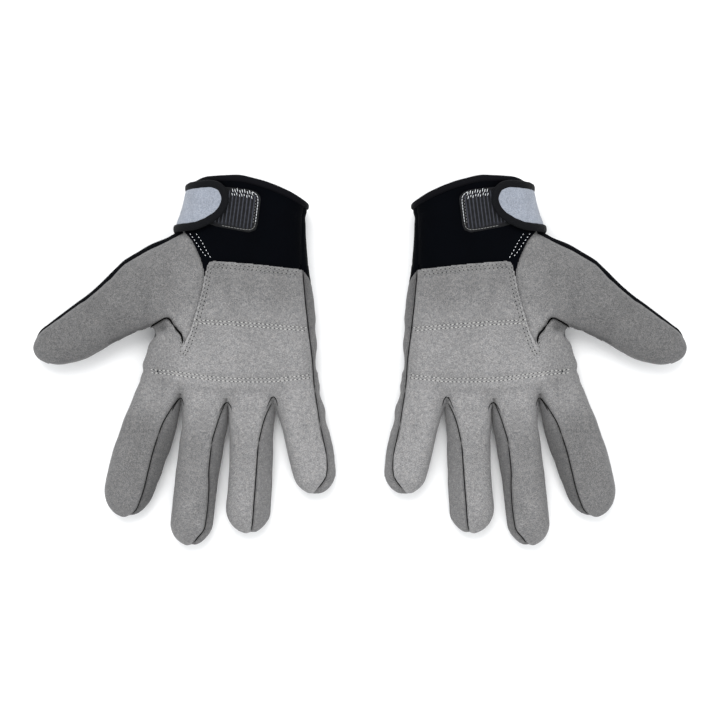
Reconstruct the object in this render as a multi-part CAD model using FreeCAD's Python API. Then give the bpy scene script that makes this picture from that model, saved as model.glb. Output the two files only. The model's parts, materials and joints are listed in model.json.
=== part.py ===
import FreeCAD, Part
import math
import os

V = FreeCAD.Vector

# ---------------------------------------------------------------- sizes, mm
# One glove is described at x > 0 (the left-hand glove) and mirrored in the
# plane x = 0. Gloves lie on their backs: palm side up (+Z), cuffs towards +Y.
WALL = 2.2            # fabric plus lining
GAP = 0.4             # seam clearance between panels of one body
HINGE_GAP = 0.7       # clearance between bodies at a bend
FINGER_SPLIT_Z = 9.5  # side seam between palm-side and back panels
THUMB_SPLIT_Z = 14.6
HAND_SPLIT_Z = 13.0

BINDING_H = 3.6       # rolled tape at the cuff opening
PATCH_T = 1.3         # loop patch thickness
STRAP_T = 2.0         # strap thickness
STRAP_LIFT = 2.6      # strap's underside above the cuff
STRAP_BIND_T = 3.0
STRAP_BIND_W = 4.0
HOOK_T = 0.5

# hand body: y, x of the outer (thumb side) edge, x of the inner
# (little-finger side) edge, bottom z, top z; what lies below z = 0 is
# pressed flat where the glove rests
BODY = [
    (112.0, 99.2, 32.0, -0.5, 42.5),
    (100.0, 100.2, 31.6, -0.6, 42.0),
    (86.0, 103.4, 31.8, -0.7, 41.0),
    (70.0, 109.5, 32.0, -0.8, 39.5),
    (55.0, 113.5, 31.0, -0.8, 38.2),
    (38.0, 117.0, 28.6, -0.8, 36.6),
    (20.0, 121.5, 27.2, -0.8, 34.6),
    (2.0, 126.6, 26.4, -0.8, 32.0),
    (-12.0, 131.9, 24.8, -0.8, 29.2),
    (-24.0, 137.0, 22.4, -0.8, 26.8),
    (-36.0, 142.0, 19.8, -0.8, 25.6),
]

# thumb root, blended into the hand: distance along the thumb axis (negative =
# towards the palm), half widths (wrist side, finger side), bottom z, top z
THUMB_ROOT = [
    (-46.0, 12.0, 14.0, 3.0, 30.0),
    (-28.0, 20.6, 19.0, 1.0, 33.5),
    (-14.0, 22.4, 20.8, -0.2, 33.0),
    (0.0, 22.2, 21.2, -0.5, 31.5),
]

# digits: hinge centre, direction, mid-joint distance, stations
# (s, half width towards +perp, half width towards -perp, bottom z, top z)
DIGITS = {
    "index_finger": {
        "c": (120.3, -18.1), "d": (0.324, -0.946), "mid": 39.0,
        "st": [(0.0, 13.4, 12.9, -0.5, 26.0), (10.0, 14.0, 14.2, -0.5, 25.8),
               (22.0, 15.2, 15.6, -0.5, 25.4), (39.0, 15.3, 15.7, -0.5, 24.4),
               (50.0, 14.9, 15.3, -0.5, 23.4), (60.0, 13.9, 14.4, 0.3, 22.2),
               (68.0, 11.7, 12.6, 0.9, 20.2), (73.5, 9.4, 9.8, 2.2, 17.6),
               (77.2, 5.6, 5.8, 5.0, 14.4)]},
    "middle_finger": {
        "c": (93.3, -23.6), "d": (0.107, -0.994), "mid": 42.0,
        "st": [(0.0, 13.0, 13.5, -0.5, 25.4), (10.0, 12.6, 13.7, -0.5, 25.2),
               (24.0, 12.3, 13.8, -0.5, 24.8), (42.0, 12.5, 13.0, -0.5, 23.8),
               (54.0, 12.9, 12.4, -0.5, 23.0), (66.0, 12.7, 12.0, 0.3, 21.8),
               (75.0, 11.6, 10.9, 0.9, 19.8), (80.4, 9.2, 8.4, 2.4, 17.0),
               (83.3, 5.8, 4.8, 5.0, 14.2)]},
    "ring_finger": {
        "c": (65.4, -24.4), "d": (0.038, -0.999), "mid": 39.0,
        "st": [(0.0, 12.9, 13.5, -0.5, 25.4), (10.0, 12.8, 13.6, -0.5, 25.2),
               (24.0, 12.5, 13.8, -0.5, 24.8), (39.0, 12.1, 13.8, -0.5, 23.8),
               (52.0, 12.5, 13.4, -0.5, 22.8), (62.0, 12.7, 12.9, 0.3, 21.6),
               (70.0, 11.6, 11.8, 0.9, 19.8), (75.0, 9.6, 9.2, 2.4, 17.2),
               (77.8, 6.2, 4.8, 5.0, 14.4)]},
    "little_finger": {
        "c": (38.6, -22.9), "d": (-0.235, -0.972), "mid": 30.0,
        "st": [(0.0, 12.0, 13.6, -0.5, 25.2), (8.0, 12.1, 14.2, -0.5, 25.0),
               (18.0, 12.2, 14.2, -0.5, 24.4), (30.0, 12.3, 14.4, -0.5, 23.2),
               (40.0, 12.3, 13.6, 0.3, 21.8), (47.0, 11.4, 12.7, 0.8, 20.2),
               (52.5, 9.8, 9.9, 2.2, 17.8), (56.2, 6.4, 6.2, 4.8, 14.6)]},
    "thumb": {
        "c": (129.0, 40.7), "d": (0.885, -0.466), "mid": 33.0,
        "st": [(0.0, 22.2, 21.2, -0.5, 31.5), (10.0, 19.6, 19.7, -0.5, 30.4),
               (22.0, 16.2, 18.0, -0.5, 29.0), (33.0, 13.9, 18.0, -0.5, 27.6),
               (46.0, 11.9, 18.4, -0.5, 26.0), (57.0, 10.2, 16.6, 0.4, 24.2),
               (65.0, 8.8, 14.0, 1.2, 22.0), (70.5, 7.6, 11.0, 2.8, 19.2),
               (74.2, 4.4, 6.0, 5.6, 15.6)]},
}
ORDER = ["index_finger", "middle_finger", "ring_finger", "little_finger",
         "thumb"]

# flat outlines, mm, x > 0 glove
CUFF_TOP = [(110.0, 98.4), (101.0, 101.6), (87.6, 106.4), (73.0, 107.0),
            (59.4, 104.2), (44.0, 98.8), (31.8, 92.4), (24.0, 88.0)]
PALM_SEAM_L = (89.0, 59.4)     # palm panel meets cuff panel, thumb side
PALM_SEAM_R = (34.2, 54.4)     # the same seam, little-finger side
ULNAR_SEAM = [(34.2, 54.4), (32.4, 31.7), (28.9, 0.5), (27.8, -15.1),
              (24.6, -38.0)]
THUMB_SEAM = [(110.0, 79.6), (99.5, 74.6), (93.6, 66.6), (89.0, 59.4),
              (92.0, 44.0), (96.0, 25.7), (100.8, 11.3), (106.0, 3.0),
              (120.0, 4.5), (150.0, 18.0)]
LOOP_PATCH = [(95.4, 103.0), (78.6, 102.8), (64.4, 101.0), (60.9, 97.6), (63.3, 81.4),
              (68.2, 78.6), (86.0, 81.2), (95.4, 84.0)]
STRAP_OUT = [(118.0, 104.0), (103.2, 104.4), (99.5, 106.2), (88.0, 107.2),
             (82.8, 105.2), (79.4, 101.0), (79.2, 96.6), (81.4, 91.6),
             (85.6, 87.0), (92.2, 82.4), (98.0, 79.4), (104.5, 77.6),
             (118.0, 77.4)]
STRAP_ROOT_Z = 20.6   # the strap is sewn down from here to the cuff's side


# ---------------------------------------------------------------- helpers
def superellipse(n=16, e=2.5):
    out = []
    for k in range(n):
        t = 2.0 * math.pi * (k + 0.5) / n
        c, s = math.cos(t), math.sin(t)
        out.append((math.copysign(abs(c) ** (2.0 / e), c),
                    math.copysign(abs(s) ** (2.0 / e), s)))
    return out


def ring(centre, right, plus, minus, z0, z1, off, e=2.5):
    """Closed smooth section: centre (x, y), unit vector to the plus side,
    half widths on both sides, bottom and top, all shrunk by off."""
    zc, zh = 0.5 * (z0 + z1), 0.5 * (z1 - z0) - off
    wc, wh = 0.5 * (plus - minus), 0.5 * (plus + minus) - off
    pts = []
    for u, v in superellipse(16, e):
        w = wc + u * wh
        pts.append(V(centre[0] + right[0] * w, centre[1] + right[1] * w,
                     zc + v * zh))
    c = Part.BSplineCurve()
    c.interpolate(Points=pts, PeriodicFlag=True)
    us = [c.parameter(pts[k]) for k in (1, 5, 9, 13)]
    edges = []
    for i in range(4):
        u0, u1 = us[i], us[(i + 1) % 4]
        if u1 <= u0:
            u1 += c.LastParameter - c.FirstParameter
        k = c.copy()
        k.segment(u0, u1)
        edges.append(k.toShape())
    return Part.Wire(edges)


def loft(rings):
    s = Part.makeLoft(rings, True, False, False)
    if s.Volume < 0:
        s.reverse()
    return s


def prism(poly, z0, z1):
    w = Part.makePolygon([V(x, y, z0) for x, y in poly]
                         + [V(poly[0][0], poly[0][1], z0)])
    return Part.Face(w).extrude(V(0, 0, z1 - z0))


def solid_of(shape):
    ss = sorted(shape.Solids, key=lambda s: -s.Volume)
    return ss[0]


def body_loft(off, grow_lo=0.0, grow_hi=0.0):
    rs = []
    for i, (y, xo, xi, z0, z1) in enumerate(BODY):
        yy = y + (grow_hi if i == 0 else 0.0) - (
            grow_lo if i == len(BODY) - 1 else 0.0)
        rs.append(ring((0.5 * (xo + xi), yy), (1.0, 0.0), 0.5 * (xo - xi),
                       0.5 * (xo - xi), z0, z1, off, 2.7))
    return loft(rs)


def digit_sections(name, rows, off, s_lo=None, s_hi=None):
    g = DIGITS[name]
    cx, cy = g["c"]
    dx, dy = g["d"]
    px, py = PLUS[name]
    rs = []
    for i, (s, a, b, z0, z1) in enumerate(rows):
        ss = s
        if i == 0 and s_lo is not None:
            ss = s_lo
        if i == len(rows) - 1 and s_hi is not None:
            ss = s_hi
        rs.append(ring((cx + dx * ss, cy + dy * ss), (px, py), a, b, z0, z1,
                       off, 2.6))
    return loft(rs)


# plus side: the thumb side of each finger, and the wrist side of the thumb
PLUS = {}
for _n in ORDER:
    _d = DIGITS[_n]["d"]
    PLUS[_n] = (-_d[1], _d[0])


def half_plane(c, d, s0, s1, w=60.0):
    """Block between distances s0 and s1 along d from c, all heights."""
    px, py = -d[1], d[0]
    q = []
    for s, t in ((s0, -w), (s1, -w), (s1, w), (s0, w)):
        q.append((c[0] + d[0] * s + px * t, c[1] + d[1] * s + py * t))
    return prism(q, -20.0, 90.0)


PARTS = {}


def add(name, shape):
    raw = solid_of(shape)
    s = solid_of(raw.removeSplitter())
    if not s.isValid() or abs(s.Volume - raw.Volume) > 0.001 * raw.Volume:
        s = raw
    PARTS[name] = s


# ---------------------------------------------------------------- digits
for name in ORDER:
    g = DIGITS[name]
    rows = g["st"]
    outer = digit_sections(name, rows, 0.0)
    inner_rows = [r for r in rows[:-1]]
    inner = digit_sections(name, inner_rows, WALL, s_lo=-1.0)
    shell = outer.cut(inner)
    c, d, mid = g["c"], g["d"], g["mid"]
    length = rows[-1][0] + 2.0
    zs = THUMB_SPLIT_Z if name == "thumb" else FINGER_SPLIT_Z
    for seg, s0, s1 in (("base", HINGE_GAP / 2, mid - HINGE_GAP / 2),
                        ("tip", mid + HINGE_GAP / 2, length)):
        slab = half_plane(c, d, s0, s1)
        piece = shell.common(slab)
        top = Part.makeBox(400, 400, 80, V(-100, -200, zs + GAP / 2))
        bot = Part.makeBox(400, 400, zs - GAP / 2, V(-100, -200, 0))
        add("%s_%s_palm_side" % (name, seg), piece.common(top))
        add("%s_%s_back_side" % (name, seg), piece.common(bot))

# ---------------------------------------------------------------- hand body
hand = body_loft(0.0)
hand_in = body_loft(WALL, 3.0, 3.0)
root = digit_sections("thumb", THUMB_ROOT, 0.0)
root_in = digit_sections("thumb", THUMB_ROOT, WALL, s_hi=3.0)
outer = hand.fuse(root)
cavity = hand_in.fuse(root_in)
shell = outer.cut(cavity)

# cut the body where the digits start and along the slanted cuff opening
above = ([(140.0, 98.4)] + CUFF_TOP + [(0.0, 88.0), (0.0, 140.0),
                                      (140.0, 140.0)])
shell = shell.cut(prism(above, -20, 90))
FINGER_WIDTH = {"index_finger": (34.0, 12.9), "middle_finger": (13.3, 13.7),
                "ring_finger": (13.2, 13.2), "little_finger": (12.6, 30.0)}
line = []
for name in ORDER[:4]:
    g = DIGITS[name]
    c, d, (px, py) = g["c"], g["d"], PLUS[name]
    for t in (FINGER_WIDTH[name][0], -FINGER_WIDTH[name][1]):
        s = -HINGE_GAP / 2
        line.append((c[0] + d[0] * s + px * t, c[1] + d[1] * s + py * t))
shell = shell.cut(prism(line + [(-60.0, -50.0), (0.0, -90.0), (220.0, -90.0),
                                (220.0, -20.0)], -20, 90))
g = DIGITS["thumb"]
c, d, (px, py) = g["c"], g["d"], PLUS["thumb"]
shell = shell.cut(prism([(c[0] + d[0] * s + px * t, c[1] + d[1] * s + py * t)
                         for s, t in ((-HINGE_GAP / 2, 36.0), (60.0, 36.0),
                                      (60.0, -21.5), (-HINGE_GAP / 2, -21.5))],
                        -20, 90))

ZB = HAND_SPLIT_Z
top = Part.makeBox(400, 400, 80, V(-100, -200, ZB + GAP / 2))
bot = Part.makeBox(400, 400, ZB - GAP / 2, V(-100, -200, 0))
add("back_panel", shell.common(bot))
upper = shell.common(top)


def shifted(line, dx, dy):
    return [(x + dx, y + dy) for x, y in line]


h = GAP / 2
# cuff front: above the palm seam, inside the thumb seam
cuff_poly = ([(x - h, y + h) for x, y in THUMB_SEAM[:4]]
             + [(PALM_SEAM_L[0] - h, PALM_SEAM_L[1] + h),
                (PALM_SEAM_R[0], PALM_SEAM_R[1] + h), (0.0, 51.5 + h),
                (0.0, 130.0), (112.0, 130.0)])
cuff_poly = [cuff_poly[0]] + cuff_poly[1:]
add("cuff_front_panel", upper.common(prism(cuff_poly, 0, 90)))
# palm
palm_poly = ([(PALM_SEAM_R[0] + h, PALM_SEAM_R[1] - h),
              (PALM_SEAM_L[0] - h, PALM_SEAM_L[1] - h)]
             + [(x - h, y - h) for x, y in THUMB_SEAM[4:]]
             + [(200.0, 18.0), (200.0, -60.0)]
             + [(x + h, y) for x, y in reversed(ULNAR_SEAM)][:-1])
add("palm_panel", upper.common(prism(palm_poly, 0, 90)))
# thumb panel root
thumb_poly = ([(x + h, y + h) for x, y in THUMB_SEAM]
              + [(200.0, 40.0), (200.0, 79.0)])
add("thumb_panel", upper.common(prism(thumb_poly, 0, 90)))
# gusset
gus_poly = ([(x - h, y - h) for x, y in ULNAR_SEAM]
            + [(0.0, -60.0), (0.0, 51.5 - h)])
add("ulnar_gusset", upper.common(prism(gus_poly, 0, 90)))


# cuff binding: a rolled ring along the opening
def edge_band(y_hi, y_lo, off_out, off_in):
    a = body_loft(-off_out, 0.0, 6.0).cut(body_loft(off_in, 3.0, 9.0))
    over = ([(160.0, 98.4 + y_hi)] + [(x, y + y_hi) for x, y in CUFF_TOP]
            + [(0.0, 88.0 + y_hi), (0.0, 140.0), (160.0, 140.0)])
    under = ([(160.0, 98.4 + y_lo)] + [(x, y + y_lo) for x, y in CUFF_TOP]
             + [(0.0, 88.0 + y_lo), (0.0, -60.0), (160.0, -60.0)])
    floor = Part.makeBox(400, 400, 40, V(-100, -200, -40))
    return a.cut(prism(over, -20, 90)).cut(prism(under, -20, 90)).cut(floor)


add("cuff_binding", edge_band(3.6, GAP, 0.0, WALL + 1.0))

# loop patch
skin_out = body_loft(-PATCH_T - 0.15, 0.0, 6.0)
skin_in = body_loft(-0.15, 3.0, 9.0)
patch = skin_out.cut(skin_in)
add("loop_patch", patch.common(prism(LOOP_PATCH, 24, 90)))

# strap: a curved tab lying over the cuff and the loop patch
def offset_poly(poly, dist):
    n = len(poly)
    area = sum(poly[i][0] * poly[(i + 1) % n][1]
               - poly[(i + 1) % n][0] * poly[i][1] for i in range(n))
    sg = 1.0 if area > 0 else -1.0
    out = []
    for i in range(n):
        x0, y0 = poly[i - 1]
        x1, y1 = poly[i]
        x2, y2 = poly[(i + 1) % n]
        l1 = math.hypot(x1 - x0, y1 - y0)
        l2 = math.hypot(x2 - x1, y2 - y1)
        n1 = (-(y1 - y0) / l1 * sg, (x1 - x0) / l1 * sg)
        n2 = (-(y2 - y1) / l2 * sg, (x2 - x1) / l2 * sg)
        k = 1.0 + n1[0] * n2[0] + n1[1] * n2[1]
        out.append((x1 + (n1[0] + n2[0]) / k * dist,
                    y1 + (n1[1] + n2[1]) / k * dist))
    return out


strap_in_poly = offset_poly(STRAP_OUT, STRAP_BIND_W)
strap_in_poly = [(min(x, 118.0), y) for x, y in strap_in_poly]
strap_in_poly[0] = (118.0, strap_in_poly[1][1])
strap_in_poly[-1] = (118.0, strap_in_poly[-2][1])
lo = body_loft(-STRAP_LIFT, 3.0, 9.0)
hi = body_loft(-STRAP_LIFT - STRAP_T, 0.0, 6.0)
strap_shell = hi.cut(lo)
keep = Part.makeBox(200, 200, 60, V(0, 0, STRAP_ROOT_Z))
add("wrist_strap", strap_shell.common(prism(strap_in_poly, 0, 90)).common(keep))
hi2 = body_loft(-STRAP_LIFT - 0.5 * (STRAP_T + STRAP_BIND_T), 0.0, 6.0)
lo2 = body_loft(-STRAP_LIFT + 0.5 * (STRAP_BIND_T - STRAP_T), 3.0, 9.0)
bind_shell = hi2.cut(lo2)
rim = prism(STRAP_OUT, 0, 90).cut(prism(
    [(130.0, strap_in_poly[1][1] + 0.25)]
    + [p for p in offset_poly(STRAP_OUT, STRAP_BIND_W - 0.25)[1:-1]]
    + [(130.0, strap_in_poly[-2][1] - 0.25)], -5, 95))
add("strap_binding", bind_shell.common(rim).common(keep))
# hook patch under the strap
HOOK = [(93.5, 100.0), (86.5, 100.4), (84.2, 97.6), (88.6, 90.6),
        (93.5, 87.2)]
hk = body_loft(-STRAP_LIFT + 0.15, 0.0, 6.0).cut(
    body_loft(-STRAP_LIFT + 0.15 + HOOK_T, 3.0, 9.0))
add("strap_hook_patch", hk.common(prism(HOOK, 20, 90)))

# ---------------------------------------------------------------- export
os.makedirs("parts", exist_ok=True)
for name in sorted(PARTS):
    s = PARTS[name]
    s.exportStep("parts/left_%s.step" % name)
    m = s.mirror(V(0, 0, 0), V(1, 0, 0))
    m.exportStep("parts/right_%s.step" % name)
    bb = s.BoundBox
    print("%-32s ok=%s vol=%9.1f faces=%3d  x %.1f..%.1f y %.1f..%.1f z %.1f..%.1f"
          % (name, s.isValid(), s.Volume, len(s.Faces), bb.XMin, bb.XMax,
             bb.YMin, bb.YMax, bb.ZMin, bb.ZMax))
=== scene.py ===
import json
import math
import bpy
import numpy as np
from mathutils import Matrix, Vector

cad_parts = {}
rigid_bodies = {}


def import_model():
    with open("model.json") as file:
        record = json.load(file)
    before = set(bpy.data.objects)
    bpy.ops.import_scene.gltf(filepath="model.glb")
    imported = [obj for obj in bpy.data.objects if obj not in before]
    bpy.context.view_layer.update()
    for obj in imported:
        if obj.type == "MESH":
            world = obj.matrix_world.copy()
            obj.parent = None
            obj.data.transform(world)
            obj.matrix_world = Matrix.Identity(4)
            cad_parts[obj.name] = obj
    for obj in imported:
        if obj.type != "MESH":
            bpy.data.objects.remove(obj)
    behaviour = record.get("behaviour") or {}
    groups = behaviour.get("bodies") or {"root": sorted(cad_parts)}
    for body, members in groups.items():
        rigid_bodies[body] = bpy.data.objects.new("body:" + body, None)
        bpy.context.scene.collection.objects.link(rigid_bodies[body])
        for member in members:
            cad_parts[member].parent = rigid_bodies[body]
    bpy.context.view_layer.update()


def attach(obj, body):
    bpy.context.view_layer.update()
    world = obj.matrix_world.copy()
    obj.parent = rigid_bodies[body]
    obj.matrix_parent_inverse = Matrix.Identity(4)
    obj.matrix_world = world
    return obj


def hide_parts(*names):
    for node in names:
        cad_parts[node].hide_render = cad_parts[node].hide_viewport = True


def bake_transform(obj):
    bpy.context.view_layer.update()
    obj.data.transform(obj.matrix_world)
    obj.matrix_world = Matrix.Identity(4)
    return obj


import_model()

RNG = np.random.default_rng(11)
H = 0.9          # grid step of the glove skin, mm

# =====================================================================
# measured shape of one glove, mm, x > 0 (the left-hand glove)
# =====================================================================
DIG = {
    "index_finger": dict(
        c=(120.3, -18.1), d=(0.324, -0.946), mid=39.0, L=79.1, R=15.5, e=2.6,
        st=[(-26, 12.6, 12.8, -0.5, 27.5), (0, 13.4, 13.6, 0.0, 25.6),
            (8, 13.8, 14.6, 0.0, 25.2), (16, 14.3, 15.9, 0.1, 25.0),
            (24, 15.1, 16.4, 0.1, 24.8), (32, 15.2, 16.6, 0.1, 24.4),
            (40, 15.4, 15.9, 0.1, 24.2), (48, 15.1, 15.8, 0.1, 23.6),
            (56, 14.5, 14.9, 0.2, 23.0), (63.5, 13.8, 14.4, 0.4, 22.2),
            (72.5, 12.6, 13.2, 1.2, 20.8), (79.1, 11.4, 11.6, 2.4, 18.6)],
        seam=[(0, 13.2), (8, 10.8), (20, 8.6), (34, 8.3), (48, 9.0),
              (60, 9.6), (70, 9.0), (77, 6.0), (83, 2.0)]),
    "middle_finger": dict(
        c=(93.3, -23.6), d=(0.107, -0.994), mid=42.0, L=88.0, R=13.0, e=2.6,
        st=[(-26, 12.8, 13.0, -0.5, 27.5), (0, 13.0, 13.8, 0.0, 25.4),
            (8, 12.0, 14.8, 0.0, 25.1), (16, 11.4, 15.4, 0.1, 24.8),
            (24, 12.0, 14.6, 0.1, 24.6), (32, 12.1, 14.1, 0.1, 24.2),
            (40, 12.4, 13.3, 0.1, 24.0), (48, 12.7, 12.5, 0.1, 23.4),
            (56, 12.9, 12.3, 0.1, 22.8), (64, 12.9, 12.1, 0.3, 22.0),
            (74.5, 12.8, 11.8, 1.0, 20.8), (88.0, 11.8, 10.0, 2.4, 18.4)],
        seam=[(0, 13.4), (6, 11.4), (14, 9.6), (26, 7.6), (40, 7.4),
              (54, 8.4), (64, 8.6), (76, 8.0), (83, 4.0), (89, 0.0)]),
    "ring_finger": dict(
        c=(65.4, -24.4), d=(0.038, -0.999), mid=39.0, L=79.0, R=13.0, e=2.6,
        st=[(-26, 13.0, 13.0, -0.5, 27.0), (0, 13.2, 13.6, 0.0, 25.2),
            (8, 13.0, 14.4, 0.0, 25.0), (16, 12.8, 14.2, 0.1, 24.7),
            (24, 12.5, 13.9, 0.1, 24.4), (32, 12.3, 14.1, 0.1, 24.0),
            (40, 12.0, 13.9, 0.1, 23.8), (48, 12.2, 13.7, 0.1, 23.2),
            (56, 12.6, 13.4, 0.1, 22.6), (62, 13.0, 13.0, 0.3, 21.8),
            (70.5, 12.6, 12.8, 0.9, 20.8), (79.0, 11.6, 11.4, 2.2, 18.6)],
        seam=[(0, 13.2), (8, 9.6), (16, 7.4), (28, 5.4), (40, 4.8),
              (52, 4.2), (62, 3.6), (72, 3.0), (82, 1.0)]),
    "little_finger": dict(
        c=(38.6, -22.9), d=(-0.235, -0.972), mid=30.0, L=58.6, R=12.5, e=2.6,
        st=[(-26, 12.4, 13.4, -0.5, 26.5), (0, 12.4, 14.6, 0.0, 25.0),
            (8, 12.4, 14.9, 0.0, 24.8), (16, 12.3, 14.2, 0.1, 24.4),
            (24, 12.3, 14.8, 0.1, 24.0), (32, 12.4, 14.3, 0.1, 23.4),
            (40, 12.5, 13.8, 0.2, 22.4), (48.5, 12.0, 13.2, 0.6, 21.4),
            (58.6, 11.0, 11.6, 2.2, 18.6)],
        seam=[(0, 10.6), (10, 11.0), (22, 11.0), (34, 10.8), (44, 10.6),
              (54, 9.6), (63, 5.0)]),
    "thumb": dict(
        c=(129.0, 40.7), d=(0.885, -0.466), mid=33.0, L=75.4, R=13.5, e=2.5,
        st=[(-46, 14.0, 14.0, 3.0, 30.0), (-28, 21.4, 18.0, 1.0, 33.0),
            (-14, 22.9, 20.6, 0.2, 33.0), (0, 22.4, 21.4, 0.0, 31.6),
            (8, 20.2, 20.0, 0.0, 30.8), (16, 17.8, 18.6, 0.0, 30.0),
            (24, 15.7, 18.1, 0.0, 29.2), (32, 14.0, 18.2, 0.0, 28.4),
            (40, 12.8, 18.6, 0.0, 27.6), (48, 11.6, 18.5, 0.2, 26.8),
            (56, 10.4, 17.4, 0.4, 25.8), (62, 9.6, 16.0, 0.8, 24.8),
            (68, 9.2, 14.4, 1.8, 23.2), (74.4, 8.4, 12.6, 3.0, 21.0)],
        seam=[(-60, 60), (90, 60)]),
}
for _n, _dx in (("index_finger", -0.026), ("middle_finger", -0.009),
                ("ring_finger", -0.014)):
    _a, _b = DIG[_n]["d"]
    _l = math.hypot(_a + _dx, _b)
    DIG[_n]["d"] = ((_a + _dx) / _l, _b / _l)
FINGERS = ["index_finger", "middle_finger", "ring_finger", "little_finger"]
DIGITS = FINGERS + ["thumb"]
CUTS = {"index_finger": 25.0, "middle_finger": 26.5, "ring_finger": 25.0,
        "little_finger": 19.0, "thumb": 21.0}
BEND0 = {"index_finger": (-2.0, 22.0), "middle_finger": (-2.0, 24.0),
         "ring_finger": (-2.0, 22.0), "little_finger": (-2.0, 17.5),
         "thumb": (-8.0, 18.0)}
BEND1 = {"index_finger": (27.0, 51.0), "middle_finger": (29.0, 55.0),
         "ring_finger": (27.0, 51.0), "little_finger": (20.0, 41.0),
         "thumb": (22.0, 46.0)}

# hand and cuff: y, thumb-side x, little-finger-side x, bottom, top
HAND = [
    (118.0, 97.6, 32.2, 0.3, 42.6), (104.0, 98.4, 32.0, 0.2, 42.4),
    (95.9, 99.4, 31.8, 0.1, 41.8), (88.7, 101.2, 31.4, 0.0, 41.2),
    (81.5, 103.8, 32.2, 0.0, 40.6), (77.5, 105.8, 32.1, 0.0, 40.2), (74.0, 108.4, 32.0, 0.0, 39.8),
    (66.0, 111.6, 31.6, 0.0, 39.0), (59.9, 112.0, 31.2, 0.0, 38.4),
    (52.7, 113.8, 30.6, 0.0, 37.8), (45.5, 115.2, 29.5, 0.0, 37.0),
    (34.7, 117.0, 27.8, 0.0, 35.8), (27.5, 119.0, 27.1, 0.0, 35.0),
    (16.7, 123.0, 26.4, 0.0, 33.6), (9.5, 125.2, 26.4, 0.0, 32.6),
    (2.3, 126.8, 26.6, 0.0, 31.6), (-4.9, 128.6, 26.2, 0.0, 30.4),
    (-8.5, 130.2, 25.0, 0.0, 29.6), (-12.1, 132.0, 25.2, 0.0, 28.8),
    (-15.7, 133.8, 25.0, 0.0, 28.0), (-19.3, 135.2, 24.0, 0.0, 27.2),
    (-30.0, 138.0, 22.0, 0.0, 26.2),
]
HAND_END = [(20.0, -27.5), (38.4, -23.0), (51.8, -24.2), (65.0, -25.0),
            (79.4, -24.6), (93.0, -24.0), (107.6, -21.6), (121.0, -19.0),
            (136.0, -14.5), (150.0, -12.0)]
CUFF_TOP = [(10.0, 84.0), (24.0, 89.6), (31.8, 94.2), (44.0, 100.6),
            (59.4, 106.0), (73.0, 108.6), (87.6, 108.2), (101.0, 104.4),
            (110.0, 101.0), (130.0, 96.0)]
PALM_SEAM = [(0.0, 51.4), (34.2, 54.4), (60.0, 57.2), (88.2, 59.5),
             (90.4, 58.9), (91.6, 56.4), (93.0, 51.6)]
ULNAR_SEAM = [(36.4, 70.0), (34.4, 54.4), (32.4, 31.7), (30.4, 14.0),
              (28.7, 0.5), (27.8, -15.1), (24.2, -39.1), (20.0, -57.7),
              (19.6, -70.3), (26.4, -79.0)]
THUMB_SEAM = [(109.0, 80.5), (105.0, 76.8), (101.6, 73.2), (98.9, 69.0),
              (96.4, 63.0), (94.4, 57.5), (93.2, 53.1), (93.7, 47.5),
              (95.0, 41.0), (96.8, 34.6), (99.1, 27.0), (102.0, 17.7),
              (104.6, 9.0)]
WEB_SEAM = [(104.6, 9.0), (105.0, 14.6), (109.0, 17.9), (114.7, 26.6),
            (120.0, 23.8), (126.0, 21.2), (135.0, 18.0), (150.0, 11.2),
            (163.0, 4.4), (175.0, 0.6), (190.0, -2.0)]
ROW_MID = [(100.0, 23.2), (92.0, 22.8), (76.0, 22.0), (60.0, 20.8),
           (46.0, 19.6), (32.6, 18.6)]
ROW_LOW = [(126.6, -6.7), (116.0, -7.4), (103.2, -9.1), (89.0, -11.0),
           (75.0, -12.1), (62.0, -12.3), (51.0, -12.1), (40.0, -11.0),
           (29.4, -9.7)]




def true_size(line, z):
    """A line read off at the table's scale, for fabric at height z."""
    k = (1032.0 - z) / 1020.0
    return [(x * k, y * k) for x, y in line]


CUFF_TOP = [(x, y - 2.5) for x, y in CUFF_TOP]
PALM_SEAM = true_size(PALM_SEAM, 38.0)
THUMB_SEAM = true_size(THUMB_SEAM[:-1], 37.0) + [(103.6, 9.0)]
WEB_SEAM = [(103.6, 9.0)] + true_size(WEB_SEAM[1:], 32.0)
ULNAR_SEAM = true_size(ULNAR_SEAM, 26.0)
ROW_MID = true_size(ROW_MID, 35.0)
ROW_LOW = true_size(ROW_LOW, 30.0)


# =====================================================================
# small numeric helpers
# =====================================================================
def hermite(xs, ys):
    """Smooth interpolation without overshoot."""
    xs, ys = np.asarray(xs, float), np.asarray(ys, float)
    h = np.diff(xs)
    dl = np.diff(ys) / h
    m = np.zeros_like(xs)
    m[1:-1] = np.where(dl[:-1] * dl[1:] > 0,
                       2 * dl[:-1] * dl[1:] / np.where(
                           dl[:-1] + dl[1:] == 0, 1, dl[:-1] + dl[1:]), 0)
    m[0], m[-1] = dl[0], dl[-1]

    def f(x):
        x = np.clip(x, xs[0], xs[-1])
        i = np.clip(np.searchsorted(xs, x) - 1, 0, len(xs) - 2)
        t = (x - xs[i]) / h[i]
        t2, t3 = t * t, t * t * t
        return ((2 * t3 - 3 * t2 + 1) * ys[i] + (t3 - 2 * t2 + t) * h[i] * m[i]
                + (-2 * t3 + 3 * t2) * ys[i + 1] + (t3 - t2) * h[i] * m[i + 1])
    return f


def smin(a, b, k):
    h = np.clip(0.5 + 0.5 * (b - a) / k, 0, 1)
    return b * (1 - h) + a * h - k * h * (1 - h)


def sstep(a, b, x):
    t = np.clip((x - a) / (b - a), 0, 1)
    return t * t * (3 - 2 * t)


def bump(x, w):
    return np.exp(-(x / w) ** 2)


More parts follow.
